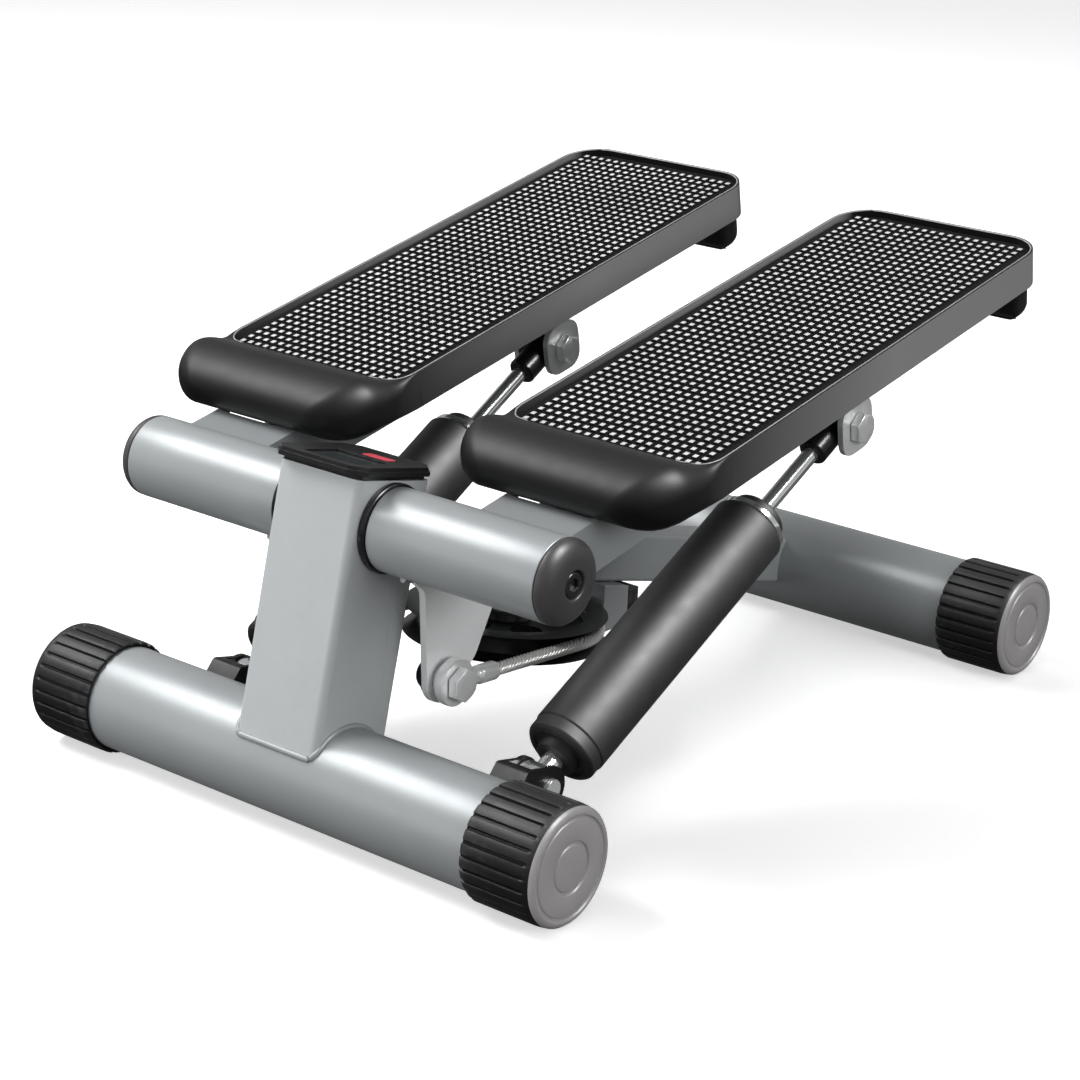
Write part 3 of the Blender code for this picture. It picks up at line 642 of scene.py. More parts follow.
def make_stabilizers():
    """The two floor tubes and their ribbed end caps."""
    half, inner = HALF_WIDTH - 0.0045, TUBE_R - TUBE_WALL
    for end, y in (("front", -HALF_BASE), ("rear", HALF_BASE)):
        tube = lathe([(TUBE_R, half), (TUBE_R, 0.06), (TUBE_R, -0.06), (TUBE_R, -half),
                      (inner, -half), (inner, half)], 120, closed=True)
        dress(f"{end}_tube", tube, "silver_paint", place=at(0, y, CAP_R) @ ACROSS)
        for side, sign in SIDES.items():
            place = at(sign * (HALF_WIDTH - CAP_LENGTH / 2), y, CAP_R) @ outwards(sign)
            dress(f"{end}_{side}_cap", ribbed_cap(), "cap_rubber", place=place @ spin(6, "Z"),
                  sharp=50, second_look="cap_face")


POST_FRAME = at(*HINGE) @ tilted(-POST_LEAN)
PULLEY_FRAME = at(*PULLEY_AT) @ tilted(PULLEY_TILT)
FINE = {"bevel": 0.0002, "segments": 2}


def make_post():
    """The leaning square tube with its round corners, saddled and welded on the front tube."""
    half_w, half_d, inner_corner = POST_WIDTH / 2, POST_DEPTH / 2, POST_CORNER - POST_WALL + 0.0006
    outer = rounded(half_w, -half_d, half_d, POST_CORNER, POST_CORNER, 8)
    half_w, half_d = half_w - POST_WALL, half_d - POST_WALL
    inner = rounded(half_w, -half_d, half_d, inner_corner, inner_corner, 8)
    low, high = -0.15, POST_TOP
    body = carved(moved(flat([outer, inner], high - low), POST_FRAME @ at(z=(low + high) / 2)),
                  (CUT, block((-0.1, -0.4, -0.05), (0.1, 0.1, POST_FOOT))),
                  (CUT, bar(TUBE_R + SADDLE_GAP, at(0, -HALF_BASE, CAP_R))),
                  (CUT, bar(AXLE_R + GAP, at(*HINGE), steps=64)))
    # The post wears a paler copy of the tubes' silver paint, as painted light
    dress("post", body, "silver_paint_lit_copy", bevel=0.0004)
    down = POST_FRAME.to_3x3() @ Vector((0, 0, -1))
    path = [drop_to_tube(POST_FRAME @ Vector((x, y, -0.05)), down) for x, y in dense(outer, 0.0016)]
    weld("post", path, 0.0015, closed=True, ripple=0.05)


def dense(outline, step):
    """A closed outline with points no further apart than step."""
    made = []
    for first, second in zip(outline, outline[1:] + outline[:1]):
        gap = math.dist(first, second)
        count = max(1, math.ceil(gap / step))
        made += [(first[0] + (second[0] - first[0]) * i / count,
                  first[1] + (second[1] - first[1]) * i / count) for i in range(count)]
    return made


def drop_to_tube(start, down):
    """Where a line from start meets the front tube, or the height where the post's foot ends."""
    y, z = start.y + HALF_BASE, start.z - CAP_R
    a = down.y ** 2 + down.z ** 2
    b = 2 * (y * down.y + z * down.z)
    c = y * y + z * z - (TUBE_R + SADDLE_GAP) ** 2
    spread = b * b - 4 * a * c
    to_foot = (POST_FOOT - start.z) / down.z
    reach = to_foot if spread < 0 else min(to_foot, (-b - math.sqrt(spread)) / (2 * a))
    return start + down * reach


def make_axle():
    """The axle, its washers, the domed end caps and their socket bolts."""
    dress("axle", drum(AXLE_R, -AXLE_HALF, AXLE_HALF, ease=0.0006), "zinc_plate",
          place=at(*HINGE) @ ACROSS)
    for side, sign in SIDES.items():
        out = at(*HINGE) @ outwards(sign)
        washer = tube_profile(SLEEVE_R + 0.0012, AXLE_R + GAP, POST_WIDTH / 2 + GAP, SLEEVE_IN - GAP)
        dress(f"{side}_post_washer", lathe(washer, closed=True, ease=0.0006), "black_nylon",
              place=out)
        low = SLEEVE_OUT + GAP
        dome = [(0.01 + (SLEEVE_R - 0.01) * math.cos(a), low + 0.001 + 0.0066 * math.sin(a))
                for a in degrees(0, 91, 9)]
        profile = ([(0.0046, low), (SLEEVE_R - 0.0003, low)] + dome
                   + [(0.0072, low + 0.0077), (0.0064, low + 0.0072), (0.0062, low + 0.003),
                      (0.0046, low + 0.003)])
        dress(f"{side}_axle_cap", lathe(profile, closed=True, ease=0.0004), "dome_plastic",
              place=out)
        make_socket_bolt(side, out @ at(z=low))


def make_socket_bolt(side, place):
    """The socket-head bolt in a domed end cap."""
    head_low, head_high = 0.0033, 0.0068
    head = lathe([(0, -0.01), (0.004, -0.01), (0.004, head_low), (0.0055, head_low),
                  (0.0055, head_high), (0, head_high)], 64, ease=0.0005)
    socket = moved(flat([circle((0, 0), 0.0031, 6)], 0.004), at(z=head_high))
    dress(f"{side}_axle_bolt", carved(head, (CUT, socket)), "dark_zinc", place=place, **FINE)


def lid_outline(inset):
    """The console lid's eight-cornered outline, drawn in by inset."""
    half, front, rear = LID_HALF - inset, LID_FRONT + inset, LID_REAR - inset
    cut = LID_CUT - inset * 0.4
    right = [(half - cut, front), (half, front + cut), (half, rear - cut), (half - cut, rear)]
    return right + [(-x, y) for x, y in reversed(right)]


def make_console():
    """The display: a stepped gloss lid on a thin base, a window and a red button."""
    lid_top = POST_TOP + LID_HIGH
    base = flat([rounded(0.0232, -0.0228, 0.0228, 0.003, 0.003, 8)], 0.003)
    (x0, y0), (x1, y1) = WINDOW
    (u0, v0), (u1, v1) = BUTTON
    shape = carved(
        moved(flat([lid_outline(0.0)], 0.002), at(z=lid_top - 0.0028)),
        (ADD, moved(flat([lid_outline(0.001)], 0.002), at(z=lid_top - 0.001))),
        (ADD, moved(base, at(y=-0.0008, z=POST_TOP + GAP + 0.0015))),
        (CUT, block((x0, y0, lid_top - 0.0024), (x1, y1, lid_top + 0.01))),
        (CUT, block((u0, v0, lid_top - 0.0032), (u1, v1, lid_top + 0.01))))
    piece("console_lid", shape, "black_plastic", "root", POST_FRAME, ["console_housing"],
          bevel=0.00045)
    pane = eased(rectangle((x0 + GAP, y0 + GAP), (x1 - GAP, y1 - GAP)), 0.0012, True, 5)
    piece("console_pane", flat([pane], 0.0012), "display_window", "root",
          POST_FRAME @ at(z=lid_top - 0.0015), ["console_window"], bevel=0.0002)
    half_u, half_v = (u1 - u0) / 2 - GAP, (v1 - v0) / 2 - GAP
    pad = eased(rectangle((-half_u, -half_v), (half_u, half_v)), 0.002, True, 6)
    piece("console_button_pad", flat([pad], 0.0022), "red_button", "console_button",
          POST_FRAME @ at((u0 + u1) / 2, (v0 + v1) / 2, lid_top - 0.0009), ["console_button"],
          bevel=0.0005)


def make_spine():
    """The sloping square tube to the rear, its pulley boss, the cable keeper and its plug."""
    spine = at(*SPINE_MID) @ tilted(SPINE_SLOPE)
    half_w, half_h, wall = SPINE_WIDTH / 2, SPINE_HEIGHT / 2, 0.002
    section = rounded(half_w, -half_h, half_h, 0.0022, 0.0022, 6)
    hollow = rounded(half_w - wall, wall - half_h, half_h - wall, 0.0008, 0.0008, 4)
    body = carved(
        moved(flat([section, hollow], 0.385), spine @ at(y=0.0025) @ spin(90, "X")),
        (CUT, moved(block((-0.05, -0.2, -0.3), (0.05, POST_DEPTH / 2 + GAP, 0.1)),
                    POST_FRAME)),
        (CUT, bar(TUBE_R + SADDLE_GAP, at(0, HALF_BASE, CAP_R))),
        (ADD, moved(drum(0.009, PULLEY_HALF + GAP, 0.0345), PULLEY_FRAME)),
        (CUT, moved(drum(0.0053, 0.0, 0.03), PULLEY_FRAME)))
    dress("spine", body, "silver_paint", bevel=0.0003)
    low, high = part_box("cable_keeper")
    keeper = carved(
        block(low, (high.x, high.y, 0.08)),
        (CUT, block((-0.0175, -0.05, low.z + 0.0025), (0.0175, 0.05, 0.056))),
        (CUT, moved(block((-0.05, -0.3, -half_h - GAP), (0.05, 0.3, 0.1)), spine)))
    dress("cable_keeper", keeper, "silver_paint", bevel=0.0006)
    low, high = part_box("keeper_plug")
    plug = carved(block(low, high),
                  (CUT, block((low.x + 0.004, high.y - 0.0012, low.z + 0.004),
                              (high.x - 0.004, high.y + 0.01, high.z - 0.004))))
    dress("keeper_plug", plug, "black_nylon", bevel=0.0012)


def make_pulley():
    """The black sheave with its windows, on a plated bolt."""
    root, groove = ROPE_TURN_R - ROPE_R - GAP, ROPE_R + 0.0005
    half, web, hub, bore, lip = PULLEY_HALF, 0.0028, 0.012, 0.0053, 0.039
    upper = [(bore, half), (hub, half), (hub + 0.001, web), (lip - 0.001, web), (lip, half),
             (PULLEY_R, half), (root, groove)]
    profile = upper + [(radius, -height) for radius, height in reversed(upper)]
    windows = [(CUT, moved(drum(0.0078, -0.01, 0.01, 40),
                           spin(60 * index + 33, "Z") @ at(x=0.025)))
               for index in range(6)]
    dress("pulley", carved(lathe(profile, closed=True, ease=0.0005), *windows), "black_nylon",
          "pulley", PULLEY_FRAME, bevel=0.0003)
    head = -PULLEY_HALF - GAP
    bolt = carved(moved(hex_head(0.0085, 0.0, 0.005), at(z=head) @ spin(180, "X")),
                  (ADD, drum(0.005, head - 0.001, 0.029)))
    dress("pulley_bolt", bolt, "zinc_plate", place=PULLEY_FRAME, **FINE)


# ---- rope

def strands(path):
    """A twisted wire rope along a line of close points: seven strands round a black core."""
    count, lay, strand_r = 7, 0.0175, 0.00122
    offset = ROPE_R - strand_r
    plane = PULLEY_FRAME.to_3x3() @ Vector((0, 0, 1))
    lengths = [0.0]
    for first, second in zip(path, path[1:]):
        lengths.append(lengths[-1] + (second - first).length)
    wires = []
    for k in range(count + 1):
        core = k == count
        reach, girth = (0.0, offset - 0.0002) if core else (offset, strand_r)
        rings = []
        for i, point in enumerate(path):
            heading = (path[min(i + 1, len(path) - 1)] - path[max(i - 1, 0)]).normalized()
            side = heading.cross(plane).normalized()
            twist = 2 * math.pi * (lengths[i] / lay + k / count)
            middle = point + reach * (side * math.cos(twist) + plane * math.sin(twist))
            rings.append([middle + girth * (side * math.cos(a) + plane * math.sin(a))
                          for a in turns(10)])
        wires.append(loft(rings, look=lambda row: int(core and 0 <= row < len(path) - 1)))
    return joined(*wires)


def make_rope():
    """The wire rope: a half turn on the pulley, and a straight run to each lever's terminal."""
    reach = (PULLEY_AT.y - HINGE.y - LEVER_BOLT[0]) / math.cos(PULLEY_TILT)
    run = reach - TERMINAL_END - GAP
    step = 0.0011
    look = {"look": "wire_rope", "second_look": "black_nylon", "sharp": 60}
    bend = [PULLEY_FRAME @ Vector((x, y, 0))
            for x, y in arc((0, 0), ROPE_TURN_R, 0, 180, round(math.pi * ROPE_TURN_R / step))]
    piece("rope_turn", strands(bend), body="root", nodes=["wire_rope"], **look)
    for side, sign in SIDES.items():
        count = round(run / step)
        line = [PULLEY_FRAME @ Vector((sign * ROPE_TURN_R, -run * i / count, 0))
                for i in range(count + 1)]
        made = piece(f"{side}_rope_run", strands(line), body=None, **look)
        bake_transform(made)


# ---- pedals

def pedal_frame(side):
    """The frame of one pedal: on the hinge axis, tilted with the deck."""
    return at(SIDES[side] * PEDAL_X, HINGE.y, HINGE.z) @ tilted(PEDAL_PITCH[side])


def smooth_step(value):
    """0 below 0, 1 above 1, with an even start and end."""
    t = min(1.0, max(0.0, value))
    return t * t * (3 - 2 * t)


def quarter_round(t):
    """1 at 0, falling to 0 at 1 along a quarter circle."""
    return math.sqrt(max(0.0, 1 - t * t))


def deck_half(s):
    """The deck's half width at s: round at the toe, a little wider there, round at the rear."""
    toe = s - NOSE_FRONT
    if toe < NOSE_CORNER:
        return NOSE_HALF + NOSE_CORNER * (quarter_round(1 - toe / NOSE_CORNER) - 1)
    past = s - (DECK_REAR - DECK_CORNER)
    if past > 0:
        return DECK_HALF + DECK_CORNER * (quarter_round(past / DECK_CORNER) - 1)
    return NOSE_HALF + (DECK_HALF - NOSE_HALF) * smooth_step((s - 0.06) / 0.03)


def deck_top(s):
    """The height of the deck's top at s: the rolled toe, then the rim."""
    if s < NOSE_CREST:
        t = (NOSE_CREST - s) / (NOSE_CREST - NOSE_FRONT)
        return NOSE_MID + (NOSE_TOP - NOSE_MID) * quarter_round(t)
    t = min(1.0, (s - NOSE_CREST) / (NOSE_REAR + 0.006 - NOSE_CREST))
    return DECK_TOP + (NOSE_TOP - DECK_TOP) * (1 - smooth_step(t))


def deck_bottom(s):
    """The height of the deck's lower edge at s."""
    t = max(0.0, (NOSE_FRONT + 0.016 - s) / 0.016)
    return NOSE_MID + (SKIRT_LOW - NOSE_MID) * quarter_round(t)


def deck_section(s):
    """The deck's outer section at s, a closed line of (x, h)."""
    top, bottom = deck_top(s), deck_bottom(s)
    fade, room = 1 - smooth_step((s - 0.056) / 0.034), (top - bottom) / 2
    lower, upper = (min(max(roll * fade, 0.00001), room) for roll in (0.0088, 0.0128))
    return rounded(deck_half(s), bottom, top, lower, upper)


def deck_body():
    """The deck's outer form, lofted from toe to rear."""
    toe, rear = NOSE_CREST - NOSE_FRONT, DECK_REAR - DECK_CORNER
    stations = [NOSE_FRONT + toe * (1 - math.cos(math.radians(90 * (i + 0.35) / 20.35)))
                for i in range(21)]
    stations += [NOSE_CREST + 0.002 * i for i in range(1, 20)] + [0.12, 0.19, 0.26, rear]
    stations += [DECK_REAR - DECK_CORNER * (1 - math.sin(math.radians(7.5 * i)))
                 for i in range(1, 13)]
    shape = loft([[(x, s, h) for x, h in deck_section(s)] for s in stations])
    bmesh.ops.remove_doubles(shape, verts=shape.verts, dist=0.00004)
    bmesh.ops.dissolve_degenerate(shape, edges=shape.edges, dist=0.00002)
    bmesh.ops.recalc_face_normals(shape, faces=shape.faces)
    return shape


def make_deck(side):
    """The moulded deck: a rolled toe, a raised rim round the tread bed, ribs and a rear bumper."""
    place, body = pedal_frame(side), f"{side}_pedal"
    bed = flat([rounded(BED_HALF, TREAD_FRONT - GAP, DECK_REAR - 0.0014, BED_FRONT_R, BED_REAR_R)],
               0.02)
    under = flat([rounded(DECK_HALF - 0.003, NOSE_REAR, DECK_REAR - 0.003, 0.015, 0.017)], 0.03)
    ribs = [(ADD, block((-0.055, s - 0.0015, ARM_HIGH + GAP), (0.055, s + 0.0015, 0.0212)))
            for s in (0.105, 0.19, 0.275)]
    notch_half = ARM_HALF + 0.0015
    shape = carved(
        deck_body(),
        (CUT, moved(bed, at(z=BED_FLOOR + 0.01))),
        (CUT, moved(under, at(z=0.02 - 0.015))),
        *ribs,
        (CUT, block((-notch_half, 0.02, -0.02), (notch_half, 0.09, 0.0125))))
    piece(f"{side}_deck_shell", shape, "deck_plastic", body, place, [f"{side}_deck"], bevel=0.00045)
    plan = rounded(0.0535, DECK_REAR - 0.025, DECK_REAR - 0.0018, 0.003, 0.0165)
    bumper = moved(rolled(flat([plan], 0.03), -0.015, 0.0065), at(z=0.0055))
    piece(f"{side}_deck_bumper", bumper, "black_plastic", body, place, bevel=0.0006)


def make_rim_highlight_bead(side):
    """A thin pale bead along the rim's inner edge, down both sides and round the rear: a painted
    highlight where the rim's edge catches the light.
    """
    steps = 10
    outline = rounded(BED_HALF + 0.0002, TREAD_FRONT - GAP, DECK_REAR - 0.0012, BED_FRONT_R,
                      BED_REAR_R, steps)
    front = 3 * (steps + 1)
    path = [(x, s, max(DECK_TOP, deck_top(s)) - 0.0001)
            for x, s in outline[front:] + outline[:front]]
    piece(f"{side}_rim_highlight_bead", bead(path, 0.00036, sides=8, ripple=0.0), "rim_highlight_grey",
          f"{side}_pedal", pedal_frame(side), sharp=80)


def stud(shape, x, s, low, high):
    """One raised stud with sloping sides and a pale flat top, its paleness partly the rubber's own
    tone and partly painted highlight.
    """
    rows = [[shape.verts.new((x + i * wide, s + j * long, h))
             for i, j in rectangle((-1, -1), (1, 1))]
            for wide, long, h in ((0.0017, 0.0019, low), (0.0013, 0.00142, high - 0.00015),
                                  (0.00114, 0.00126, high))]
    shape.faces.new(list(reversed(rows[0])))
    for lower, upper in zip(rows, rows[1:]):
        for k in range(4):
            shape.faces.new([lower[k], lower[(k + 1) % 4], upper[(k + 1) % 4], upper[k]])
    shape.faces.new(rows[-1]).material_index = 1


def make_tread(side):
    """The rubber mat: a thin slab with rows of raised studs."""
    low, ground = BED_FLOOR + GAP, TREAD_TOP - 0.0012
    slab = flat([rounded(TREAD_HALF, TREAD_FRONT, TREAD_REAR, TREAD_FRONT_R, TREAD_REAR_R)],
                ground - low)
    moved(slab, at(z=(low + ground) / 2))
    studs = bmesh.new()
    across = int(2 * (TREAD_HALF - 0.0022) / STUD_PITCH_X)
    rows = int((TREAD_REAR - TREAD_FRONT - 0.003) / STUD_PITCH_S)
    first_s = (TREAD_FRONT + TREAD_REAR - (rows - 1) * STUD_PITCH_S) / 2
    for j in range(rows):
        s = first_s + j * STUD_PITCH_S
        for i in range(across):
            x = (i - (across - 1) / 2) * STUD_PITCH_X
            if inside_mat(abs(x) + 0.0022, s):
                stud(studs, x, s, ground - 0.0002, TREAD_TOP)
    piece(f"{side}_tread_mat", joined(slab, studs), "tread_rubber", f"{side}_pedal",
          pedal_frame(side), [f"{side}_tread"], sharp=20, second_look="stud_top_tone_and_highlight")


def inside_mat(x, s):
    """Whether a point lies clear of the mat's round corners."""
    for corner, edge, sign in ((TREAD_FRONT_R, TREAD_FRONT, 1), (TREAD_REAR_R, TREAD_REAR, -1)):
        over_x = x - (TREAD_HALF - corner)
        over_s = corner - sign * (s - edge) + 0.002
        if over_x > 0 and over_s > 0 and math.hypot(over_x, over_s) > corner + 0.0012:
            return False
    return True


def make_arm(side):
    """The open steel channel under the deck, notched over its sleeve."""
    inner, floor = ARM_HALF - ARM_WALL, ARM_LOW + ARM_WALL
    shape = carved(
        block((-ARM_HALF, 0.01, ARM_LOW), (ARM_HALF, ARM_REAR, ARM_HIGH)),
        (CUT, block((-inner, 0.0, floor), (inner, 0.045, ARM_HIGH - ARM_WALL))),
        (CUT, block((-inner, 0.035, floor), (inner, 0.4, 0.05))),
        (CUT, block((-0.04, 0.04, -0.0085), (-0.015, 0.1, 0.0085))),
        (CUT, bar(SLEEVE_R + SADDLE_GAP, low=-0.06, high=0.06)))
    dress(f"{side}_arm", shape, "silver_paint", f"{side}_pedal", pedal_frame(side), bevel=0.0006)
    rise = math.sqrt((SLEEVE_R + SADDLE_GAP) ** 2 - ARM_LOW ** 2)
    weld(f"{side}_arm", [(x * ARM_HALF / 16, rise, ARM_LOW) for x in range(-16, 17)], 0.0017,
         f"{side}_pedal", pedal_frame(side))


def make_sleeve(side, sign):
    """The turning sleeve and the long bush inside it."""
    out, body = at(*HINGE) @ outwards(sign), f"{side}_pedal"
    inner = SLEEVE_R - SLEEVE_WALL
    sleeve = lathe([(SLEEVE_R, SLEEVE_OUT), (SLEEVE_R, 0.09), (SLEEVE_R, 0.05),
                    (SLEEVE_R, SLEEVE_IN), (inner, SLEEVE_IN), (inner, SLEEVE_OUT)],
                   120, closed=True, ease=0.0006)
    dress(f"{side}_sleeve", sleeve, "silver_paint", body, out)
    bush = tube_profile(inner - GAP, AXLE_R + GAP, SLEEVE_IN + 0.001, SLEEVE_OUT - 0.001)
    dress(f"{side}_bush", lathe(bush, 64, closed=True, ease=0.0005), "bush_nylon", body, out)


def make_lever(side, sign):
    """The rope lever welded under the sleeve, with its bolt and dome nut."""
    y, z = LEVER_BOLT
    outline = [(-0.007, -0.0155), (0.0075, -0.028)] + arc((y, z), 0.0115, 178, 338, 24) + [
        (0.0435, -0.069), (0.0555, -0.047), (0.05, -0.03), (0.031, -0.01),
        (0.021, -0.004), (0.008, -0.006)]
    middle = (LEVER_IN + LEVER_OUT) / 2
    plate = moved(flat([eased(outline, 0.003, True), circle((y, z), BOLT_HOLE_R)],
                       LEVER_OUT - LEVER_IN), at(x=sign * middle) @ UPRIGHT)
    level, body = at(*HINGE), f"{side}_pedal"
    saddle = bar(SLEEVE_R + SADDLE_GAP, low=-0.06, high=0.06)
    dress(f"{side}_lever", carved(plate, (CUT, saddle)), "pale_zinc", body, level, bevel=0.0006)
    seam = SLEEVE_R + 0.0003
    weld(f"{side}_lever", [(sign * (LEVER_OUT + 0.0004), seam * math.cos(a), seam * math.sin(a))
                           for a in degrees(246, 342, 3)], 0.0016, body, level)
    out = level @ at(0, y, z) @ outwards(sign)
    seat = LUG_OUT + GAP
    bolt = hex_bolt((0.0083, seat + 0.0004, LUG_OUT + 0.0053), (BOLT_R, 0.029, seat + 0.001))
    dress(f"{side}_lever_bolt", bolt, "zinc_plate", body, out, **FINE)
    seat, tip = LEVER_IN - GAP, 0.0262
    dome = [(0.0074 * math.cos(a), tip + 0.0048 - 0.0048 * math.sin(a))
            for a in degrees(81, -1, -9)]
    profile = [(0, tip), *dome, (0.0078, seat - 0.0024), (0.0098, seat - 0.0022),
               (0.0098, seat), (BOLT_HOLE_R, seat), (BOLT_HOLE_R, tip + 0.002),
               (0, tip + 0.002)]
    dress(f"{side}_lever_nut", lathe(profile, 64), "black_nylon", body, out)


def make_terminal(side, sign):
    """The rope's swaged terminal: an eye on the lever bolt and a ferrule that grips the rope."""
    half = (LUG_OUT - LUG_IN) / 2
    slope = at(sign * (LUG_IN + half)) @ tilted(PULLEY_TILT)
    ferrule = lathe([(0, 0.008), (0.0038, 0.008), (0.0041, 0.013), (0.0034, 0.014),
                     (0.0034, 0.0152), (0.0045, 0.0162), (0.0045, TERMINAL_END - 0.0012),
                     (0.0037, TERMINAL_END), (0, TERMINAL_END)], 48, ease=0.0005)
    spacer = drum(0.008, LEVER_OUT + GAP, LUG_IN + 0.001)
    shape = carved(moved(disc(0.0112, half, 0.0008), slope),
                   (ADD, moved(ferrule, slope @ ALONG_Y)),
                   (ADD, moved(spacer, outwards(sign))),
                   (CUT, bar(OPEN_EYE_R, slope, -0.02, 0.02, 64)))
    dress(f"{side}_rope_terminal", shape, "zinc_plate", f"{side}_rope_end",
          at(*HINGE) @ at(0, *LEVER_BOLT), **FINE)


def make_rod_bracket(side):
    """The plated clevis under the arm that holds the piston rod's eye, and its bolt."""
    x, (y, z) = ROD_OFFSET[side], ROD_PIVOT
    reach, top = 0.013, ARM_LOW - GAP
    outline = eased(rectangle((y - reach, z - reach), (y + reach, top)), 0.0095, True, 8)
    ears = moved(flat([outline, circle((y, z), BOLT_HOLE_R)], 0.0228), at(x=x) @ UPRIGHT)
    slot_cut = block((x - 0.0084, y - 0.02, z - 0.02), (x + 0.0084, y + 0.02, top - 0.0022))
    place, body = pedal_frame(side), f"{side}_pedal"
    dress(f"{side}_rod_bracket", carved(ears, (CUT, slot_cut)), "zinc_plate", body,
          place, bevel=0.0005)
    pivot = place @ at(x, y, z)
    bolt = hex_bolt((0.008, 0.0121, 0.0167), (BOLT_R, -0.015, 0.0125))
    dress(f"{side}_rod_bolt", bolt, "zinc_plate", body, pivot @ ACROSS, **FINE)
    nut = carved(hex_head(0.0074, 0.0118, 0.0148), (CUT, drum(0.0042, 0.0, 0.02)))
    piece(f"{side}_rod_nut", nut, "zinc_plate", body, pivot @ spin(-90, "Y"), **FINE)


# ---- cylinders

def foot_point(side):
    """Where a cylinder's foot turns."""
    return Vector(JOINTS[f"{side}_cylinder_hinge"]["pos_m"])


def cylinder_frame(side):
    """The frame of one cylinder: its foot, local Y up its rod."""
    ahead = Vector(JOINTS[f"{side}_rod_slide"]["axis"]).normalized()
    across = ahead.cross(Vector((0, 0, 1))).normalized()
    turned = Matrix((across, ahead, across.cross(ahead))).transposed()
    return at(*foot_point(side)) @ turned.to_4x4()


def make_foot_bracket(side):
    """The black clevis on the front tube that a cylinder's foot turns in, and its bolt."""
    foot, base = foot_point(side), -HALF_BASE
    outline = [(base + 0.017, 0.04), (base + 0.0255, 0.0495), (base + 0.034, 0.0475)]
    outline += arc((foot.y, foot.z), 0.0105, 100, -80, 24) + [(base + 0.02, 0.017)]
    plate = flat([eased(outline, 0.0015, True), circle((foot.y, foot.z), FOOT_HOLE_R)], 0.018)
    across = at(0, base, CAP_R)
    shape = carved(
        moved(plate, at(x=foot.x) @ UPRIGHT),
        (CUT, block((foot.x - 0.0064, base + 0.0305, 0.0),
                    (foot.x + 0.0064, base + 0.08, 0.08))),
        (CUT, bar(TUBE_R + SADDLE_GAP, across, -0.2, 0.1137)),
        (CUT, bar(CAP_R + GAP, across, 0.113, 0.2)))
    dress(f"{side}_foot_bracket", shape, "bracket_paint", bevel=0.0007)
    bolt = hex_bolt((0.0082, 0.0097, 0.0133), (0.005, -0.011, 0.01))
    dress(f"{side}_foot_bolt", bolt, "zinc_plate", place=at(*foot) @ spin(-90, "Y"), **FINE)


def make_cylinder(side):
    """One hydraulic cylinder: foot eye, barrel with its rolled ends, gland, rod and rod end."""
    place = cylinder_frame(side)
    axis = place @ ALONG_Y
    body = f"{side}_cylinder"
    bore = BARREL_R - 0.0024
    barrel = [
        (bore, BARREL_HIGH), (BARREL_R - 0.0012, BARREL_HIGH), (BARREL_R, BARREL_HIGH - 0.0014),
        (BARREL_R, 0.12), (BARREL_R, 0.07), (BARREL_R, 0.0268), (BARREL_R - 0.0006, 0.0262),
        (BARREL_R - 0.0006, 0.0206), (BARREL_R - 0.0022, 0.0188), (0.014, 0.0185),
        (0.0132, 0.02), (0.0105, 0.02), (0.0095, 0.015), (FOOT_HOLE_R, 0.015),
        (FOOT_HOLE_R, 0.0225), (bore, 0.0225)]
    dress(f"{side}_barrel", lathe(barrel, closed=True, ease=0.0006), "black_satin_paint", body,
          axis)
    eye = carved(disc(0.0095, 0.0059, 0.001),
                 (ADD, moved(drum(0.005, 0.0075, 0.0195, 48), ALONG_Y)),
                 (CUT, bar(FOOT_HOLE_R, Matrix(), -0.01, 0.01, 64)))
    dress(f"{side}_foot_eye", eye, "chrome", body, place, **FINE)
    plug = bore - GAP
    gland = [(0.0043, 0.181), (0.0125, 0.181), (0.0135, 0.18), (0.0135, 0.1757),
             (0.0152, 0.1754), (0.0152, 0.1726), (plug, 0.1724), (plug, 0.158), (0.0043, 0.158)]
    dress(f"{side}_gland", lathe(gland, closed=True, ease=0.0005), "black_satin_paint", body, axis)
    ring = lathe(tube_profile(0.0168, 0.0154, 0.1724, 0.1752), closed=True, ease=0.0004)
    piece(f"{side}_gland_ring", ring, "chrome", body, axis)
    pivot = pedal_frame(side) @ Vector((ROD_OFFSET[side], *ROD_PIVOT))
    length = (pivot - foot_point(side)).length
    body = f"{side}_rod"
    rod = lathe([(0, length - 0.01), (ROD_R, length - 0.01), (ROD_R, 0.062), (plug, 0.062),
                 (plug, 0.052), (0, 0.052)], 64)
    dress(f"{side}_piston_rod", rod, "chrome", body, axis)
    neck = lathe([(0, -0.024), (0.0062, -0.024), (0.0073, -0.0228), (0.0073, -0.005),
                  (0, -0.005)], 48)
    rod_end = carved(disc(0.009, ROD_EYE_HALF, 0.001),
                     (ADD, moved(neck, ALONG_Y)),
                     (CUT, moved(drum(ROD_R + GAP, -0.03, -0.0095, 48), ALONG_Y)),
                     (CUT, bar(OPEN_EYE_R, Matrix(), -0.01, 0.01, 64)))
    dress(f"{side}_rod_end", rod_end, "black_nylon", body, place @ at(y=length), **FINE)


# ---- studio

CAMERA_AT = (0.7755, -1.0212, 0.539)
CAMERA_AZIMUTH = 37.939
CAMERA_ELEVATION = 19.481
CAMERA_ROLL = 2.161
CAMERA_LENS = 91.64
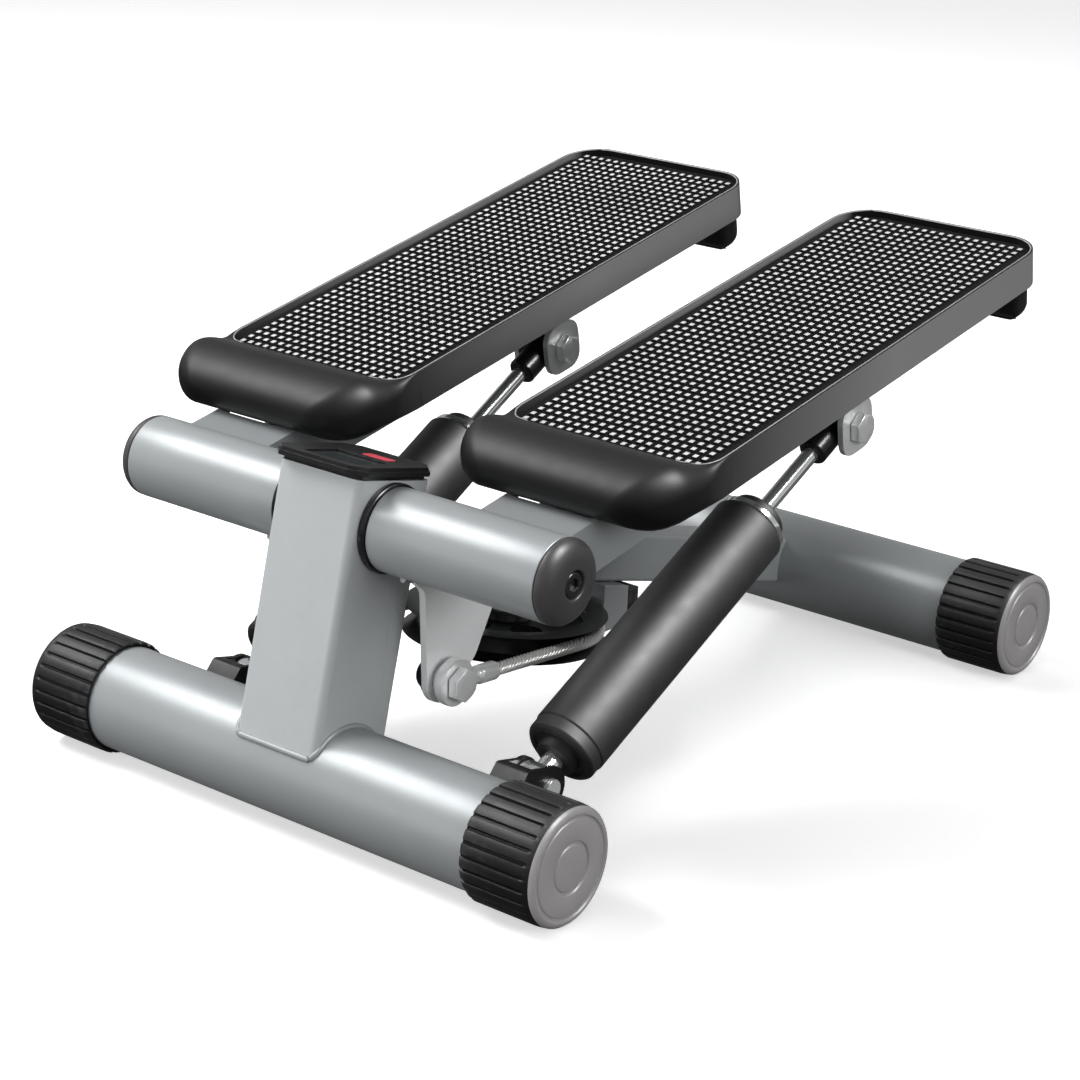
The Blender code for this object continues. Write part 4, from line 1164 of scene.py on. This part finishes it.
# Each light: direction, width, height, power, and whether gloss and matt surfaces see it
SOFTBOXES = {"key": ((-0.58, -0.32, 0.75), 1.1, 0.8, 36.0, True, True),
             "top_right": ((0.57, 0.12, 0.79), 0.6, 1.0, 95.0, True, False),
             "front_fill": ((-0.35, -0.93, 0.12), 1.0, 0.8, 20.0, False, True),
             "right_fill": ((0.95, -0.1, 0.3), 1.0, 0.8, 15.0, False, True),
             "rear_fill": ((-0.58, 0.58, 0.57), 1.2, 0.8, 8.0, False, True)}
LIGHT_TARGET = Vector((0.0, 0.0, 0.1))
LIGHT_REACH = 1.9
FLOOR_REACH = 300.0
FLOOR_GLOW = 0.5
SKY = ((0.0, 0.07), (0.002, 0.8), (0.14, 0.36), (0.5, 0.32), (1.0, 0.28))


def make_camera():
    """The camera, with the view that the machine is shown from."""
    lens = bpy.data.cameras.new("view")
    lens.lens = CAMERA_LENS
    lens.sensor_width = 36.0
    camera = added("view", lens)
    camera.matrix_world = (at(*CAMERA_AT) @ spin(CAMERA_AZIMUTH, "Z")
                           @ spin(90 - CAMERA_ELEVATION, "X") @ spin(CAMERA_ROLL, "Z"))
    bpy.context.scene.camera = camera


def softbox(name, direction, width, height, power, in_gloss, in_matt):
    """A soft rectangular light that faces the machine."""
    lamp = bpy.data.lights.new(name, "AREA")
    lamp.shape = "RECTANGLE"
    lamp.size = width
    lamp.size_y = height
    lamp.energy = power
    holder = added(name, lamp)
    holder.visible_glossy = in_gloss
    holder.visible_diffuse = in_matt
    away = Vector(direction).normalized()
    holder.matrix_world = (at(*(LIGHT_TARGET + away * LIGHT_REACH))
                           @ away.to_track_quat("Z", "Y").to_matrix().to_4x4())


def make_studio():
    """A pale floor, five softboxes and a soft even sky."""
    shape = bmesh.new()
    bmesh.ops.create_grid(shape, x_segments=8, y_segments=8, size=FLOOR_REACH)
    ground = mesh_of(shape, "studio_floor")
    ground.materials.append(LOOKS["pale_floor"])
    glow = LOOKS["pale_floor"].node_tree.nodes["Principled BSDF"].inputs
    glow["Emission Color"].default_value = (1.0, 1.0, 1.0, 1.0)
    glow["Emission Strength"].default_value = FLOOR_GLOW
    floor = added("studio_floor", ground)
    floor.visible_glossy = False
    floor.visible_diffuse = False
    for name, box in SOFTBOXES.items():
        softbox(name, *box)
    sky = bpy.data.worlds.new("studio_sky")
    sky.use_nodes = True
    tree = sky.node_tree
    facing = node(tree, "SeparateXYZ", node(tree, "TexCoord").outputs["Generated"])
    background = tree.nodes["Background"].inputs
    feed(tree, ramp(tree, facing.outputs["Z"], SKY), background["Color"])
    background["Strength"].default_value = 1.0
    bpy.context.scene.world = sky
    bpy.context.scene.view_settings.view_transform = "Standard"


LOOKS = {name: material(name, *values, **more) for name, (*values, more) in FINISHES.items()}
paint_side_light_to_the_rear(LOOKS["deck_plastic"])
make_camera()
make_stabilizers()
make_post()
make_axle()
make_console()
make_spine()
make_pulley()
make_rope()
for hand, direction in SIDES.items():
    for make in (make_arm, make_deck, make_rim_highlight_bead, make_tread, make_rod_bracket,
                 make_foot_bracket, make_cylinder):
        make(hand)
    for make in (make_sleeve, make_lever, make_terminal):
        make(hand, direction)
make_studio()
